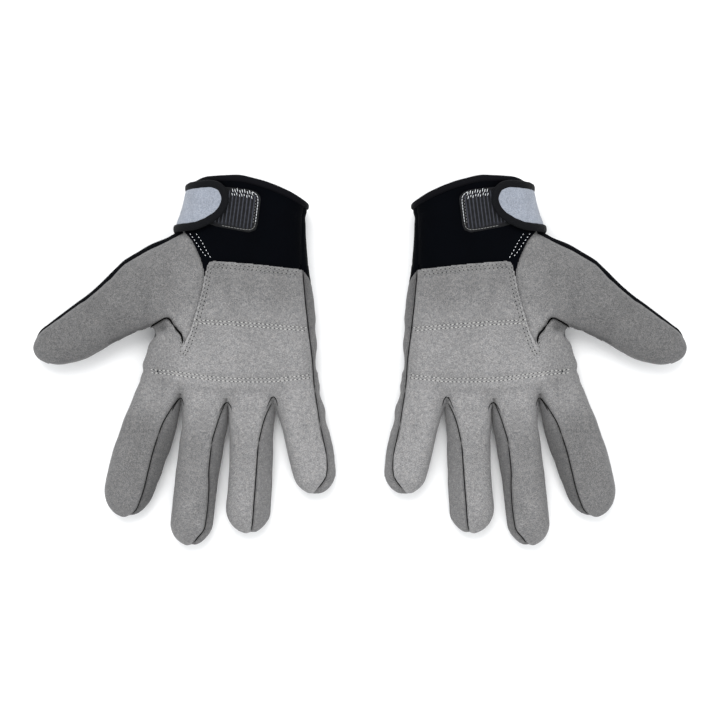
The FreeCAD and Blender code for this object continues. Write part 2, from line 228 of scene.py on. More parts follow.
def poly_field(line, x, y):
    """(signed distance, arc position) to an open polyline. Positive on the
    left of its direction."""
    best = np.full(x.shape, 1e9)
    sign = np.ones(x.shape)
    arc = np.zeros(x.shape)
    run = 0.0
    pts = np.asarray(line, float)
    for k in range(len(pts) - 1):
        ax, ay = pts[k]
        bx, by = pts[k + 1]
        dx, dy = bx - ax, by - ay
        ll = math.hypot(dx, dy)
        t = ((x - ax) * dx + (y - ay) * dy) / (ll * ll)
        tc = np.clip(t, 0 if k > 0 else -50, 1 if k < len(pts) - 2 else 50)
        ex, ey = x - ax - tc * dx, y - ay - tc * dy
        dist = np.hypot(ex, ey)
        cr = dx * ey - dy * ex
        upd = dist < best - 1e-9
        best = np.where(upd, dist, best)
        sign = np.where(upd, np.where(cr >= 0, 1.0, -1.0), sign)
        arc = np.where(upd, run + np.clip(tc, 0, 1) * ll, arc)
        run += ll
    return best * sign, arc


def value_noise(seed, shape=(64, 64, 64)):
    g = np.random.default_rng(seed).random(shape).astype(np.float32)

    def f(x, y, z, size):
        out = 0
        p = [np.asarray(q) / size for q in (x, y, z)]
        i = [np.floor(q).astype(int) for q in p]
        t = [q - k for q, k in zip(p, i)]
        t = [q * q * (3 - 2 * q) for q in t]
        for a in (0, 1):
            for b in (0, 1):
                for c in (0, 1):
                    w = ((t[0] if a else 1 - t[0]) * (t[1] if b else 1 - t[1])
                         * (t[2] if c else 1 - t[2]))
                    out = out + w * g[(i[0] + a) % 64, (i[1] + b) % 64,
                                      (i[2] + c) % 64]
        return out * 2 - 1
    return f


noise = value_noise(5)

# =====================================================================
# the skin as a signed field
# =====================================================================
for g in DIG.values():
    n = math.hypot(*g["d"])
    g["d"] = (g["d"][0] / n, g["d"][1] / n)
    g["p"] = (-g["d"][1], g["d"][0])
    st = np.array(g["st"], float)
    g["fa"], g["fb"] = hermite(st[:, 0], st[:, 1]), hermite(st[:, 0], st[:, 2])
    g["f0"], g["f1"] = hermite(st[:, 0], st[:, 3]), hermite(st[:, 0], st[:, 4])
    sm = np.array(g["seam"], float)
    g["fs"] = hermite(sm[:, 0], sm[:, 1])
hy = np.array(HAND, float)[::-1]
H_OUT, H_IN = hermite(hy[:, 0], hy[:, 1]), hermite(hy[:, 0], hy[:, 2])
H_Z0, H_Z1 = hermite(hy[:, 0], hy[:, 3]), hermite(hy[:, 0], hy[:, 4])
he = np.array(HAND_END, float)
H_END = hermite(he[:, 0], he[:, 1])
ct = np.array(CUFF_TOP, float)
F_TOP = hermite(ct[:, 0], ct[:, 1])


def local(name, x, y):
    g = DIG[name]
    cx, cy = g["c"]
    s = (x - cx) * g["d"][0] + (y - cy) * g["d"][1]
    t = (x - cx) * g["p"][0] + (y - cy) * g["p"][1]
    return s, t


def digit_field(name, x, y, z):
    g = DIG[name]
    s, t = local(name, x, y)
    a, b = g["fa"](s), g["fb"](s)
    z0, z1 = g["f0"](s), g["f1"](s)
    if name != "thumb":
        # the palm side rolls over to the side strip past its seam
        sm = g["fs"](s)
        roll = sstep(0.0, 1.0, (-t - sm + 1.5) / np.maximum(b - sm + 1.5, 3.0))
        z1 = z1 - 5.2 * roll * sstep(-2, 10, s)
        z1 = z1 - 0.9 * bump((t + 1.0) / np.maximum(a, 1), 0.0 + 0.9) * 0.0
    wc, wh = 0.5 * (a - b), 0.5 * (a + b)
    zc, zh = 0.5 * (z0 + z1), 0.5 * (z1 - z0)
    u, v = np.abs(t - wc) / wh, np.abs(z - zc) / zh
    e, ec = g["e"], 2.1
    r = (u ** e + v ** e) ** (1 / e)
    q = np.clip((s - (g["L"] - g["R"])) / g["R"], 0, None)
    f = (r ** ec + q ** ec) ** (1 / ec) - 1
    back = np.clip((-s - 30) / 10, 0, None) if name != "thumb" else np.clip(
        (-s - 40) / 10, 0, None)
    f = np.maximum(f, (r ** 2 + back ** 2) ** 0.5 - 1)
    return f * np.minimum(wh, zh) * 0.9


def hand_field(x, y, z):
    xo, xi = H_OUT(y), H_IN(y)
    z0, z1 = H_Z0(y), H_Z1(y)
    wc, wh = 0.5 * (xo + xi), 0.5 * (xo - xi)
    zc, zh = 0.5 * (z0 + z1), 0.5 * (z1 - z0)
    u, v = np.abs(x - wc) / wh, np.abs(z - zc) / zh
    e = 2.55
    r = (u ** e + v ** e) ** (1 / e)
    q = np.clip((H_END(x) + 12.0 - y) / 12.0, 0, None)
    f = (r ** 2.2 + q ** 2.2) ** (1 / 2.2) - 1
    return f * np.minimum(wh, zh) * 0.9


X0, X1, Y0, Y1, Z0, Z1 = 8.0, 204.0, -114.0, 122.0, -4.0, 48.0
gx = np.arange(X0, X1, H)
gy = np.arange(Y0, Y1, H)
gz = np.arange(Z0, Z1, H)
SH = (len(gx), len(gy), len(gz))
D = np.full(SH, 30.0, np.float32)


def sub(x0, x1, y0, y1):
    i0, i1 = np.searchsorted(gx, [x0, x1])
    j0, j1 = np.searchsorted(gy, [y0, y1])
    sl = (slice(i0, i1), slice(j0, j1), slice(None))
    X, Y, Z = np.meshgrid(gx[sl[0]], gy[sl[1]], gz, indexing="ij")
    return sl, X, Y, Z


def slope_norm(f):
    g0, g1, g2 = np.gradient(f, H)
    return f / np.clip(np.sqrt(g0 * g0 + g1 * g1 + g2 * g2), 0.35, 4.0)


sl, X, Y, Z = sub(12, 150, -50, 122)
D[sl] = slope_norm(hand_field(X, Y, Z))
for name, box, k in (("thumb", (84, 204, -20, 92), 7.0),
                     ("index_finger", (86, 170, -112, 20), 3.2),
                     ("middle_finger", (66, 122, -114, 16), 3.2),
                     ("ring_finger", (42, 90, -112, 14), 3.2),
                     ("little_finger", (8, 62, -92, 14), 3.2)):
    sl, X, Y, Z = sub(*box)
    d = slope_norm(digit_field(name, X, Y, Z))
    s, t = local(name, X, Y)
    if name == "thumb":
        kk = 7.0
        D[sl] = smin(D[sl], d, kk)
    else:
        # soft into the palm, a sharp valley between fingers
        w = sstep(9.0, -3.0, s)
        soft = smin(D[sl], d, 3.4)
        D[sl] = w * soft + (1 - w) * np.minimum(D[sl], d)


def sample(v, grad=True):
    """Field value and slope at points (mm)."""
    p = (v - np.array([X0, Y0, Z0])) / H
    n = np.array(SH)
    p = np.clip(p, 1.001, n - 2.002)
    i = np.floor(p).astype(int)
    f = p - i

    def at(a, b, c):
        return D[i[:, 0] + a, i[:, 1] + b, i[:, 2] + c].astype(float)
    c000, c100, c010, c110 = at(0, 0, 0), at(1, 0, 0), at(0, 1, 0), at(1, 1, 0)
    c001, c101, c011, c111 = at(0, 0, 1), at(1, 0, 1), at(0, 1, 1), at(1, 1, 1)
    fx, fy, fz = f[:, 0], f[:, 1], f[:, 2]
    c00, c10 = c000 * (1 - fx) + c100 * fx, c010 * (1 - fx) + c110 * fx
    c01, c11 = c001 * (1 - fx) + c101 * fx, c011 * (1 - fx) + c111 * fx
    c0, c1 = c00 * (1 - fy) + c10 * fy, c01 * (1 - fy) + c11 * fy
    val = c0 * (1 - fz) + c1 * fz
    if not grad:
        return val
    dz = (c1 - c0) / H
    dy = ((c10 - c00) * (1 - fz) + (c11 - c01) * fz) / H
    dx = (((c100 - c000) * (1 - fy) + (c110 - c010) * fy) * (1 - fz)
          + ((c101 - c001) * (1 - fy) + (c111 - c011) * fy) * fz) / H
    return val, np.stack([dx, dy, dz], 1)


def surface_nets():
    ins = D < 0
    c = np.zeros(tuple(n - 1 for n in SH), np.int8)
    for a in (0, 1):
        for b in (0, 1):
            for k in (0, 1):
                c += ins[a:SH[0] - 1 + a, b:SH[1] - 1 + b, k:SH[2] - 1 + k]
    act = (c > 0) & (c < 8)
    ci = np.argwhere(act)
    idx = np.full(act.shape, -1, np.int64)
    idx[act] = np.arange(len(ci))
    acc, cnt = np.zeros((len(ci), 3)), np.zeros(len(ci))
    for ax in range(3):
        o1, o2 = [q for q in range(3) if q != ax]
        for a in (0, 1):
            for b in (0, 1):
                off = np.zeros(3, int)
                off[o1], off[o2] = a, b
                p0 = ci + off
                p1 = p0.copy()
                p1[:, ax] += 1
                d0 = D[p0[:, 0], p0[:, 1], p0[:, 2]].astype(float)
                d1 = D[p1[:, 0], p1[:, 1], p1[:, 2]].astype(float)
                m = (d0 < 0) != (d1 < 0)
                t = np.where(m, d0 / np.where(d0 - d1 == 0, 1, d0 - d1), 0)
                pt = np.tile(off.astype(float), (len(ci), 1))
                pt[:, ax] += t
                acc[m] += pt[m]
                cnt[m] += 1
    v = np.array([X0, Y0, Z0]) + H * (ci + acc / cnt[:, None])
    faces = []
    for ax in range(3):
        o1, o2 = [(1, 2), (2, 0), (0, 1)][ax]
        s0 = [slice(1, SH[q] - 1) for q in range(3)]
        s1 = list(s0)
        s0[ax], s1[ax] = slice(0, SH[ax] - 1), slice(1, SH[ax])
        a, b = ins[tuple(s0)], ins[tuple(s1)]
        cr = np.argwhere(a != b)
        fl = a[cr[:, 0], cr[:, 1], cr[:, 2]]
        base = cr + 1
        base[:, ax] -= 1

        def cell(u, w):
            q = base.copy()
            q[:, o1] -= u
            q[:, o2] -= w
            return idx[q[:, 0], q[:, 1], q[:, 2]]
        q = np.stack([cell(1, 1), cell(0, 1), cell(0, 0), cell(1, 0)], 1)
        q[~fl] = q[~fl][:, ::-1]
        faces.append(q)
    return v, np.concatenate(faces)


V3, F4 = surface_nets()
keep = (F4 >= 0).all(1)
F4 = F4[keep]


def edges_of(f):
    e = np.concatenate([f[:, [i, (i + 1) % f.shape[1]]]
                        for i in range(f.shape[1])])
    return e


def relax(v, f, times, lock=None):
    e = edges_of(f)
    n = len(v)
    deg = np.bincount(e[:, 0], minlength=n) + np.bincount(e[:, 1], minlength=n)
    for _ in range(times):
        acc = np.zeros_like(v)
        for k in range(3):
            acc[:, k] = (np.bincount(e[:, 0], v[e[:, 1], k], n)
                         + np.bincount(e[:, 1], v[e[:, 0], k], n))
        nv = 0.35 * v + 0.65 * acc / np.maximum(deg, 1)[:, None]
        if lock is not None:
            nv[lock] = v[lock]
        v = nv
        for _k in range(2):
            val, gr = sample(v)
            v = v - gr * (val / np.maximum((gr ** 2).sum(1), 0.05))[:, None]
    return v


V3 = relax(V3, F4, 4)
NV = len(V3)


# =====================================================================
# seams and panels
# =====================================================================
def smooth_line(line, step=2.0, rounds=3):
    p = np.asarray(line, float)
    seg = np.r_[0, np.cumsum(np.hypot(*np.diff(p, axis=0).T))]
    q = np.arange(0, seg[-1] + step * 0.5, step)
    p = np.stack([np.interp(q, seg, p[:, 0]), np.interp(q, seg, p[:, 1])], 1)
    for _ in range(rounds):
        p[1:-1] = 0.25 * p[:-2] + 0.5 * p[1:-1] + 0.25 * p[2:]
    return p


L_PALM = smooth_line(PALM_SEAM, 1.5, 1)
L_ULNAR = smooth_line(ULNAR_SEAM, 2.5, 3)
L_THUMB = smooth_line(THUMB_SEAM, 2.0, 2)
L_WEB = smooth_line(WEB_SEAM, 2.0, 1)
L_MID = smooth_line(ROW_MID, 3.0, 2)
L_LOW = smooth_line(ROW_LOW, 3.0, 2)
ZB = 8.5        # side seam to the black back


def nearest_digit(x, y):
    """Digit each point belongs to, or -1 for the hand."""
    own = np.full(len(x), -1)
    best = np.full(len(x), 1e9)
    for k, name in enumerate(DIGITS):
        g = DIG[name]
        s, t = local(name, x, y)
        lim = BEND0[name][0]
        wc = 0.5 * (g["fa"](s) - g["fb"](s))
        wh = 0.5 * (g["fa"](s) + g["fb"](s))
        d = np.abs(t - wc) - wh
        ok = (s > lim) & (d < 5.0)
        if name == "thumb":
            ok &= (s > lim)
        use = ok & (d < best)
        own[use] = k
        best[use] = d[use]
    return own


def fields(v):
    """Every seam as a signed field over points, with where it applies."""
    x, y, z = v[:, 0], v[:, 1], v[:, 2]
    out = {}
    zc = 0.5 * (H_Z0(y) + H_Z1(y))
    out["palm"] = poly_field(L_PALM, x, y)[0]        # + towards the cuff
    out["thumb"] = poly_field(L_THUMB, x, y)[0]      # + on the thumb's side
    out["ulnar"] = poly_field(L_ULNAR, x, y)[0]      # + on the palm's side
    out["web"] = poly_field(L_WEB, x, y)[0]          # + on the thumb's panel
    s, t = local("thumb", x, y)
    g = DIG["thumb"]
    edge = hermite([-40, -24, -14, 0, 14, 30, 50, 66, 76],
                   [19.0, 19.6, 20.4, 19.9, 15.8, 12.4, 9.8, 7.8, 4.0])(s) - t
    zb = ZB + 0 * x
    # the black back reaches up beside the cuff's end of the gusset
    zb = zb + 20.0 * sstep(37.0, 55.5, y) * (x < 62)
    back = z - zb
    th = (s > -38) & (x > 98)
    back = np.where(th, np.minimum(back, edge), back)
    out["back"] = back
    out["top"] = F_TOP(x) - y
    return out


def seam_near_sides(v):
    """The finger's seam between its palm-side panel and its side strip."""
    x, y, z = v[:, 0], v[:, 1], v[:, 2]
    own = nearest_digit(x, y)
    f = np.full(len(x), 50.0)
    for k, name in enumerate(FINGERS[:3]):
        s, t = local(name, x, y)
        m = own == k
        f[m] = (t + DIG[name]["fs"](s))[m]
    return f, own


def cut_fields(v):
    x, y = v[:, 0], v[:, 1]
    own = nearest_digit(x, y)
    a = np.full(len(x), 50.0)
    b = np.full(len(x), 50.0)
    for k, name in enumerate(DIGITS):
        s, t = local(name, x, y)
        g = DIG[name]
        wc = 0.5 * (g["fa"](s) - g["fb"](s))
        wh = 0.5 * (g["fa"](s) + g["fb"](s))
        m = np.abs(t - wc) < wh + 4
        m &= (np.abs(s - BEND0[name][0]) < 6)
        if name == "thumb":
            m &= t > -24.5
        a[m] = np.where(np.abs(s[m] - BEND0[name][0]) < np.abs(a[m]),
                        s[m] - BEND0[name][0], a[m])
        m = own == k
        b[m] = s[m] - CUTS[name]
    return a, b


def finger_gap(v):
    """Zero half way between two neighbouring fingers, near their roots."""
    x, y = v[:, 0], v[:, 1]
    out = np.full(len(x), 50.0)
    dd = []
    for name in FINGERS:
        g = DIG[name]
        s, t = local(name, x, y)
        wc = 0.5 * (g["fa"](s) - g["fb"](s))
        wh = 0.5 * (g["fa"](s) + g["fb"](s))
        dd.append((s, np.abs(t - wc) - wh))
    for k in range(3):
        s0, d0 = dd[k]
        s1, d1 = dd[k + 1]
        m = (s0 > -4) & (s1 > -4) & (d0 < 4) & (d1 < 4)
        out[m] = (d0 - d1)[m] * 0.5
    return out


def region(v):
    """Fabric region of each point: see the names below."""
    f = fields(v)
    x, y, z = v[:, 0], v[:, 1], v[:, 2]
    r = np.zeros(len(x), int)                       # 0 palm suede
    cuff = (f["palm"] > 0) & (f["thumb"] < 0) & (y > 46)
    r[cuff] = 1                                     # 1 cuff front
    th = (f["thumb"] > 0) & (f["web"] > 0)
    r[th] = 2                                       # 2 thumb panel
    r[(f["ulnar"] < 0) & (f["palm"] < 0) & (x < 60)] = 3   # 3 gusset
    return r, f


def snap(v, fn, mask=None, reach=0.62):
    """Moves points that lie close to a seam onto it, along the surface."""
    val0 = fn(v)
    eps = 0.05
    near = np.abs(val0) < reach * H * 1.15
    if mask is not None:
        near &= mask
    ii = np.where(near)[0]
    if not len(ii):
        return v, ii
    w = v[ii].copy()
    for _ in range(3):
        val = fn(w)
        g = np.stack([(fn(w + np.eye(3)[k] * eps) - val) / eps
                      for k in range(3)], 1)
        _, nr = sample(w)
        nr /= np.linalg.norm(nr, axis=1)[:, None] + 1e-9
        g -= (g * nr).sum(1)[:, None] * nr
        g2 = (g ** 2).sum(1)
        st = g * (val / np.maximum(g2, 0.15))[:, None]
        ln = np.linalg.norm(st, axis=1)
        st *= np.minimum(1, 1.2 * H / np.maximum(ln, 1e-9))[:, None]
        w -= st
        dv, dg = sample(w)
        w -= dg * (dv / np.maximum((dg ** 2).sum(1), 0.05))[:, None]
    v = v.copy()
    ok = np.abs(fn(w)) < 0.12
    v[ii[ok]] = w[ok]
    return v, ii[ok]


locked = np.zeros(NV, bool)
SEAM_FNS = [
    ("top", lambda p: fields(p)["top"], None),
    ("back", lambda p: fields(p)["back"], None),
    ("thumb", lambda p: fields(p)["thumb"],
     lambda p: (p[:, 2] > 9) & (p[:, 1] > 9)),
    ("palm", lambda p: fields(p)["palm"],
     lambda p: (p[:, 2] > 9) & (p[:, 0] < 95) & (p[:, 1] > 51)),
    ("ulnar", lambda p: fields(p)["ulnar"],
     lambda p: (p[:, 2] > 12) & (p[:, 1] < 56) & (p[:, 1] > -80)),
    ("web", lambda p: fields(p)["web"],
     lambda p: (p[:, 2] > 12) & (p[:, 0] > 103) & (p[:, 1] > 2)
     & (p[:, 0] < 190)),
    ("side", lambda p: seam_near_sides(p)[0], lambda p: p[:, 2] > 12),
    ("cut_a", lambda p: cut_fields(p)[0], None),
    ("cut_b", lambda p: cut_fields(p)[1], None),
    ("gap", finger_gap, None),
]
for name, fn, mk in SEAM_FNS:
    m = ~locked
    if mk is not None:
        m &= mk(V3)
    V3, ii = snap(V3, fn, m)
    locked[ii] = True
V3 = relax(V3, F4, 2, lock=locked)


def field_normals(v):
    _, g = sample(v)
    return g / (np.linalg.norm(g, axis=1)[:, None] + 1e-9)


def untangle(v, f, times):
    """Eases the points of quads that the seams have folded over."""
    e = edges_of(f)
    n = len(v)
    deg = np.bincount(e[:, 0], minlength=n) + np.bincount(e[:, 1],
                                                          minlength=n)
    left = 0
    for _ in range(times):
        nr = field_normals(v)
        bad = np.zeros(len(f), bool)
        for k in range(4):
            a, b, c = v[f[:, k]], v[f[:, (k + 1) % 4]], v[f[:, k - 1]]
            cr = np.cross(b - a, c - a)
            bad |= (cr * nr[f[:, k]]).sum(1) <= 0.10 * H * H
        ii = np.unique(f[bad].ravel())
        left = int(bad.sum())
        if not len(ii):
            break
        acc = np.zeros_like(v)
        for k in range(3):
            acc[:, k] = (np.bincount(e[:, 0], v[e[:, 1], k], n)
                         + np.bincount(e[:, 1], v[e[:, 0], k], n))
        v = v.copy()
        v[ii] = 0.45 * v[ii] + 0.55 * (acc / np.maximum(deg, 1)[:, None])[ii]
        w = v[ii]
        for _k in range(2):
            val, gr = sample(w)
            w = w - gr * (val / np.maximum((gr ** 2).sum(1), 0.05))[:, None]
        v[ii] = w
    print("folded quads left", left)
    return v


V3 = untangle(V3, F4, 14)

# ---- labels of faces
FC = V3[F4].mean(1)
f_top = fields(FC)["top"]
alive = f_top > 0
F4, FC = F4[alive], FC[alive]
reg, ff = region(FC)
blk = ff["back"] < 0
reg[blk] = 4                                        # 4 black back
sd, own = seam_near_sides(FC)
side = (sd < 0) & (~blk)
reg[side] = 5                                       # 5 side strips
ca, cb = cut_fields(FC)
seg = np.zeros(len(FC), int)                        # 0 hand 1 root 2 end
seg[own >= 0] = 1
seg[(own >= 0) & (cb > 0)] = 2
print("skin", NV, "points", len(F4), "faces")


# =====================================================================
# surface detail, as moves along the normal (mm)
# =====================================================================
def face_normals(v, f):
    a = v[f[:, 2]] - v[f[:, 0]]
    b = v[f[:, 3]] - v[f[:, 1]] if f.shape[1] == 4 else v[f[:, 1]] - v[f[:, 0]]
    n = np.cross(a, b)
    return n


def vertex_normals(v, f):
    n = face_normals(v, f)
    out = np.zeros_like(v)
    for k in range(f.shape[1]):
        for c in range(3):
            out[:, c] += np.bincount(f[:, k], n[:, c], len(v))
    return out / (np.linalg.norm(out, axis=1)[:, None] + 1e-12)


def detail(v, nrm):
    """Folds, puckers and pressed seams over the whole skin."""
    x, y, z = v[:, 0], v[:, 1], v[:, 2]
    up = sstep(-0.1, 0.5, nrm[:, 2])
    own = nearest_digit(x, y)
    d = np.zeros(len(v))
    # broad unevenness of the filled fabric
    d += 0.45 * noise(x, y, z, 26.0) + 0.22 * noise(x + 7, y, z, 11.0)
    d += 0.07 * noise(x, y + 31, z, 4.0)
    f = fields(v)
    # seams turn in, and the fabric swells a little beside them
    def turned(q, depth=0.85, w=1.15, swell=0.3):
        q = np.abs(q)
        return -depth * np.exp(-(q / w) ** 1.3) + swell * bump(q - 3.0, 2.0)
    palm_side = sstep(9.0, 12.0, z)
    side, _ = seam_near_sides(v)
    d += turned(side, 0.95, 1.1, 0.3) * palm_side
    black_edge = turned(f["back"], 0.8, 1.2, 0.2)
    d += black_edge
    on_uln = (z > 11) & (y < 56) & (f["ulnar"] < 12)
    q = f["ulnar"]
    d += np.where(on_uln, turned(q, 0.9, 1.1, 0.25), 0)
    # gusset puckers along the little-finger edge
    _, arc = poly_field(L_ULNAR, x, y)
    band = np.where(q < 0.5, 1.0, np.exp(-((q - 0.5) / 5.0) ** 2))
    m = (y < 48) & (y > -70) & (x < 62)
    wave = (np.sin(arc / 3.1 + 0.9 * np.sin(arc / 7.7)) * 0.5
            + np.sin(arc / 5.3 + 1.7) * 0.5)
    d += np.where(m, 0.62 * wave * band * sstep(48, 30, y), 0)
    # folds that run from the thumb's web into the palm
    px, py = 112.0, 20.0
    ang = np.arctan2(y - py, x - px)
    rad = np.hypot(x - px, y - py)
    fold = np.sin(ang * 7.0 + 1.3 * noise(x, y, z, 18.0)) * bump(rad - 12, 9)
    d += 0.4 * fold * palm_side * (own != 4)
    st, tt = local("thumb", x, y)
    d += np.where((own == 4) | (f["thumb"] > 0),
                  -0.9 * bump((st + 2 + 0.35 * tt) / 1.0, 2.6)
                  * sstep(-4, -16, tt) * palm_side, 0)
    d += np.where((own == 4) | (f["thumb"] > 0),
                  -0.55 * bump((st - 9 + 0.5 * (tt + 8)) / 1.0, 2.2)
                  * sstep(2, -14, tt) * palm_side, 0)
    # the fold under the thumb, in the notch
    d += -1.1 * bump(np.hypot(x - 123.5, y - 15.0), 4.2) * palm_side
    # creases where the digits bend
    for k, name in enumerate(DIGITS):
        g = DIG[name]
        s, t = local(name, x, y)
        mm = own == k
        for c0, dep, w, sl in ((g["mid"] - 2, 0.42, 2.6, 0.10),
                               (g["mid"] + 2.5, 0.30, 2.0, -0.14),
                               (g["mid"] + 17, 0.22, 1.9, 0.12),
                               (g["mid"] - 19, 0.22, 2.4, -0.10)):
            cc = s - c0 - sl * t + 0.8 * noise(x, y, z, 9.0)
            face_up = sstep(0.25, 0.8, nrm[:, 2])
            d -= np.where(mm, dep * bump(cc, w) * face_up, 0)
            d += np.where(mm, 0.35 * dep * bump(cc - 4.0, 2.2) * face_up, 0)
    # palm: dent at finger roots
    for name in FINGERS:
        s, t = local(name, x, y)
        d -= 0.5 * bump(s + 4.5 + 0.7 * noise(x, y, z, 12.0), 3.2) * bump(
            t, 13.0) * palm_side * (own < 4)
    lump = poly_field(L_LOW, x, y)[0]
    d += 0.35 * bump(lump + 5.5, 3.4) * palm_side * (f["ulnar"] > 2)
    # double-stitched rows press the suede down
    for ln in (L_MID, L_LOW):
        q, _a = poly_field(ln, x, y)
        on = palm_side * (f["ulnar"] > 1) * (f["thumb"] < -1) \
            if ln is L_MID else palm_side * (f["ulnar"] > 1) * (own < 0)
        d += on * (-0.62 * bump(q, 1.75) + 0.26 * bump(np.abs(q) - 4.2, 2.0))
        _q, arc = poly_field(ln, x, y)
        d += on * 0.10 * np.sin(arc / 2.5 * 2 * math.pi * 0.5) * bump(q, 3.6)
    # the cuff waves a little, and narrows under the strap
    d += 0.5 * noise(x, y * 0.4, z, 19.0) * sstep(58, 80, y)
    ct_ = F_TOP(x) - y
    d -= 0.55 * bump(ct_ - 7.0, 2.6) * sstep(0, 1, ct_)
    return d, up


# =====================================================================
# panels
# =====================================================================
MATS = {}
PARTS = []


def mesh_object(name, verts, faces, mat, normals=None, smooth=True,
                scale=0.001):
    """verts in mm, faces as arrays of equal-length index rows."""
    me = bpy.data.meshes.new(name)
    verts = np.asarray(verts, float) * scale
    rows = faces if isinstance(faces, list) else [faces]
    flat = np.concatenate([r.ravel() for r in rows]).astype(np.int32)
    total = np.concatenate([np.full(len(r), r.shape[1]) for r in rows])
    me.vertices.add(len(verts))
    me.vertices.foreach_set("co", verts.astype(np.float32).ravel())
    me.loops.add(len(flat))
    me.loops.foreach_set("vertex_index", flat)
    me.polygons.add(len(total))
    start = np.r_[0, np.cumsum(total)[:-1]].astype(np.int32)
    me.polygons.foreach_set("loop_start", start)
    me.polygons.foreach_set("loop_total", total.astype(np.int32))
    me.update(calc_edges=True)
    me.validate()
    if smooth:
        me.polygons.foreach_set("use_smooth", np.ones(len(me.polygons), bool))
    me.materials.append(mat)
    o = bpy.data.objects.new(name, me)
    bpy.context.scene.collection.objects.link(o)
    if normals is not None and len(me.loops) == len(normals):
        me.normals_split_custom_set(normals.astype(np.float32).tolist())
    return o


def boundary_edges(f):
    e = edges_of(f)
    key = np.sort(e, 1)
    k = key[:, 0].astype(np.int64) * (key.max() + 1) + key[:, 1]
    u, inv, cnt = np.unique(k, return_inverse=True, return_counts=True)
    return e[cnt[inv] == 1]


N0 = field_normals(V3)
_m = vertex_normals(V3, F4)
N0 = np.where(((_m * N0).sum(1) > 0.6)[:, None], 0.5 * N0 + 0.5 * _m, N0)
N0 /= np.linalg.norm(N0, axis=1)[:, None] + 1e-9
used = np.zeros(NV, bool)
used[F4.ravel()] = True
MOVE, UPNESS = detail(V3, N0)
BASE = V3 + N0 * MOVE[:, None]
FV = fields(V3)
GROUPS = {}
for gid in range(6):
    lift = np.zeros(NV)
    near_t = np.exp(-np.abs(FV["thumb"]) / 2.2) * (V3[:, 1] > 8)
    near_p = np.exp(-np.abs(FV["palm"]) / 2.2)
    near_w = np.exp(-np.abs(FV["web"]) / 1.6) * (FV["thumb"] > -1.5) * (
        V3[:, 0] > 104)
    up_side = sstep(10, 14, V3[:, 2])
    if gid == 0:
        lift = 0.55 * np.maximum(near_t, near_p) - 0.5 * near_w
    elif gid == 1:
        lift = -0.45 * near_p + 0.35 * near_t * (FV["palm"] > 0)
    elif gid == 2:
        lift = -0.5 * near_t + 0.3 * near_w
    vg = BASE + N0 * (lift * up_side)[:, None]
    fg = F4[reg == gid]
    ng = vertex_normals(vg, fg)
    ng = np.where(((ng * N0).sum(1) > 0.35)[:, None], ng, N0)
    GROUPS[gid] = (vg, ng, fg)

WALL = 1.3


def panel(name, mats, faces_of, thick=WALL):
    """One sewn panel: outer face, inner face and edges. faces_of maps a
    fabric region to a face mask."""
    vs, nout, quads, fm, loopn = [], [], [], [], []
    off = 0
    for gid, mask in faces_of.items():
        fg = F4[mask & (reg == gid)]
        if not len(fg):
            continue
        vg, ng, _ = GROUPS[gid]
        ids, inv = np.unique(fg.ravel(), return_inverse=True)
        fl = inv.reshape(fg.shape)
        vo, no = vg[ids], ng[ids]
        # the lining follows the smooth skin, clear of the pressed seams
        vi = V3[ids] - N0[ids] * (thick + 0.5)
        n = len(ids)
        vs += [vo, vi]
        outer = fl + off
        inner = fl[:, ::-1] + off + n
        be = boundary_edges(fl)
        rim = np.stack([be[:, 1], be[:, 0], be[:, 0] + n, be[:, 1] + n],
                       1) + off
        quads += [outer, inner, rim]
        allv = np.concatenate([vo, vi])
        rn = face_normals(allv, rim - off)
        rn /= np.linalg.norm(rn, axis=1)[:, None] + 1e-9
        loopn += [no[fl].reshape(-1, 3), -N0[ids][fl[:, ::-1]].reshape(-1, 3),
                  np.repeat(rn, 4, axis=0)]
        fm += [np.full(len(outer), gid), np.full(len(inner), 10),
               np.full(len(rim), 11)]
        off += 2 * n
    if not vs:
        return None
    v = np.concatenate(vs)
    q = np.concatenate(quads)
    m = np.concatenate(fm)
    return dict(name=name, v=v, q=q, m=m, n=np.concatenate(loopn), mats=mats)


PANELS = []


def add_panel(name, mats, faces_of, node, ride=None, blend=None):
    p = panel(name, mats, faces_of)
    if p is None:
        print("EMPTY", name)
        return
    p.update(node=node, ride=ride, blend=blend)
    PANELS.append(p)


hand_m = seg == 0
add_panel("palm_panel", "suede", {0: hand_m, 5: hand_m}, "palm_panel",
          ride="hand_body")
add_panel("thumb_panel", "suede", {2: hand_m}, "thumb_panel",
          ride="hand_body")
add_panel("cuff_front_panel", "neoprene", {1: hand_m}, "cuff_front_panel",
          ride="hand_body")
add_panel("ulnar_gusset", "suede", {3: hand_m}, "ulnar_gusset",
          ride="hand_body")
add_panel("back_panel", "neoprene", {4: hand_m}, "back_panel",
          ride="hand_body")


def along(name, s, z=12.0):
    g = DIG[name]
    return (g["c"][0] + g["d"][0] * s, g["c"][1] + g["d"][1] * s, z)


for k, name in enumerate(DIGITS):
    for sg_, part, body, (b0, b1), parent in (
            (1, "base", name + "_base", BEND0[name], "hand_body"),
            (2, "tip", name + "_tip", BEND1[name], name + "_base")):
        m = (seg == sg_) & (own == k)
        grey = {0: m, 1: m, 2: m, 3: m, 5: m}
        ends = (parent, body, along(name, b0), along(name, b1))
        add_panel("%s_%s_palm_side" % (name, part), "suede", grey,
                  "%s_%s_palm_side" % (name, part), blend=ends)
        add_panel("%s_%s_back_side" % (name, part), "neoprene", {4: m},
                  "%s_%s_back_side" % (name, part), blend=ends)


# =====================================================================
# materials
# =====================================================================
def srgb(r, g, b):
    def f(c):
        c /= 255.0
        return c / 12.92 if c <= 0.04045 else ((c + 0.055) / 1.055) ** 2.4
    return (f(r), f(g), f(b), 1.0)


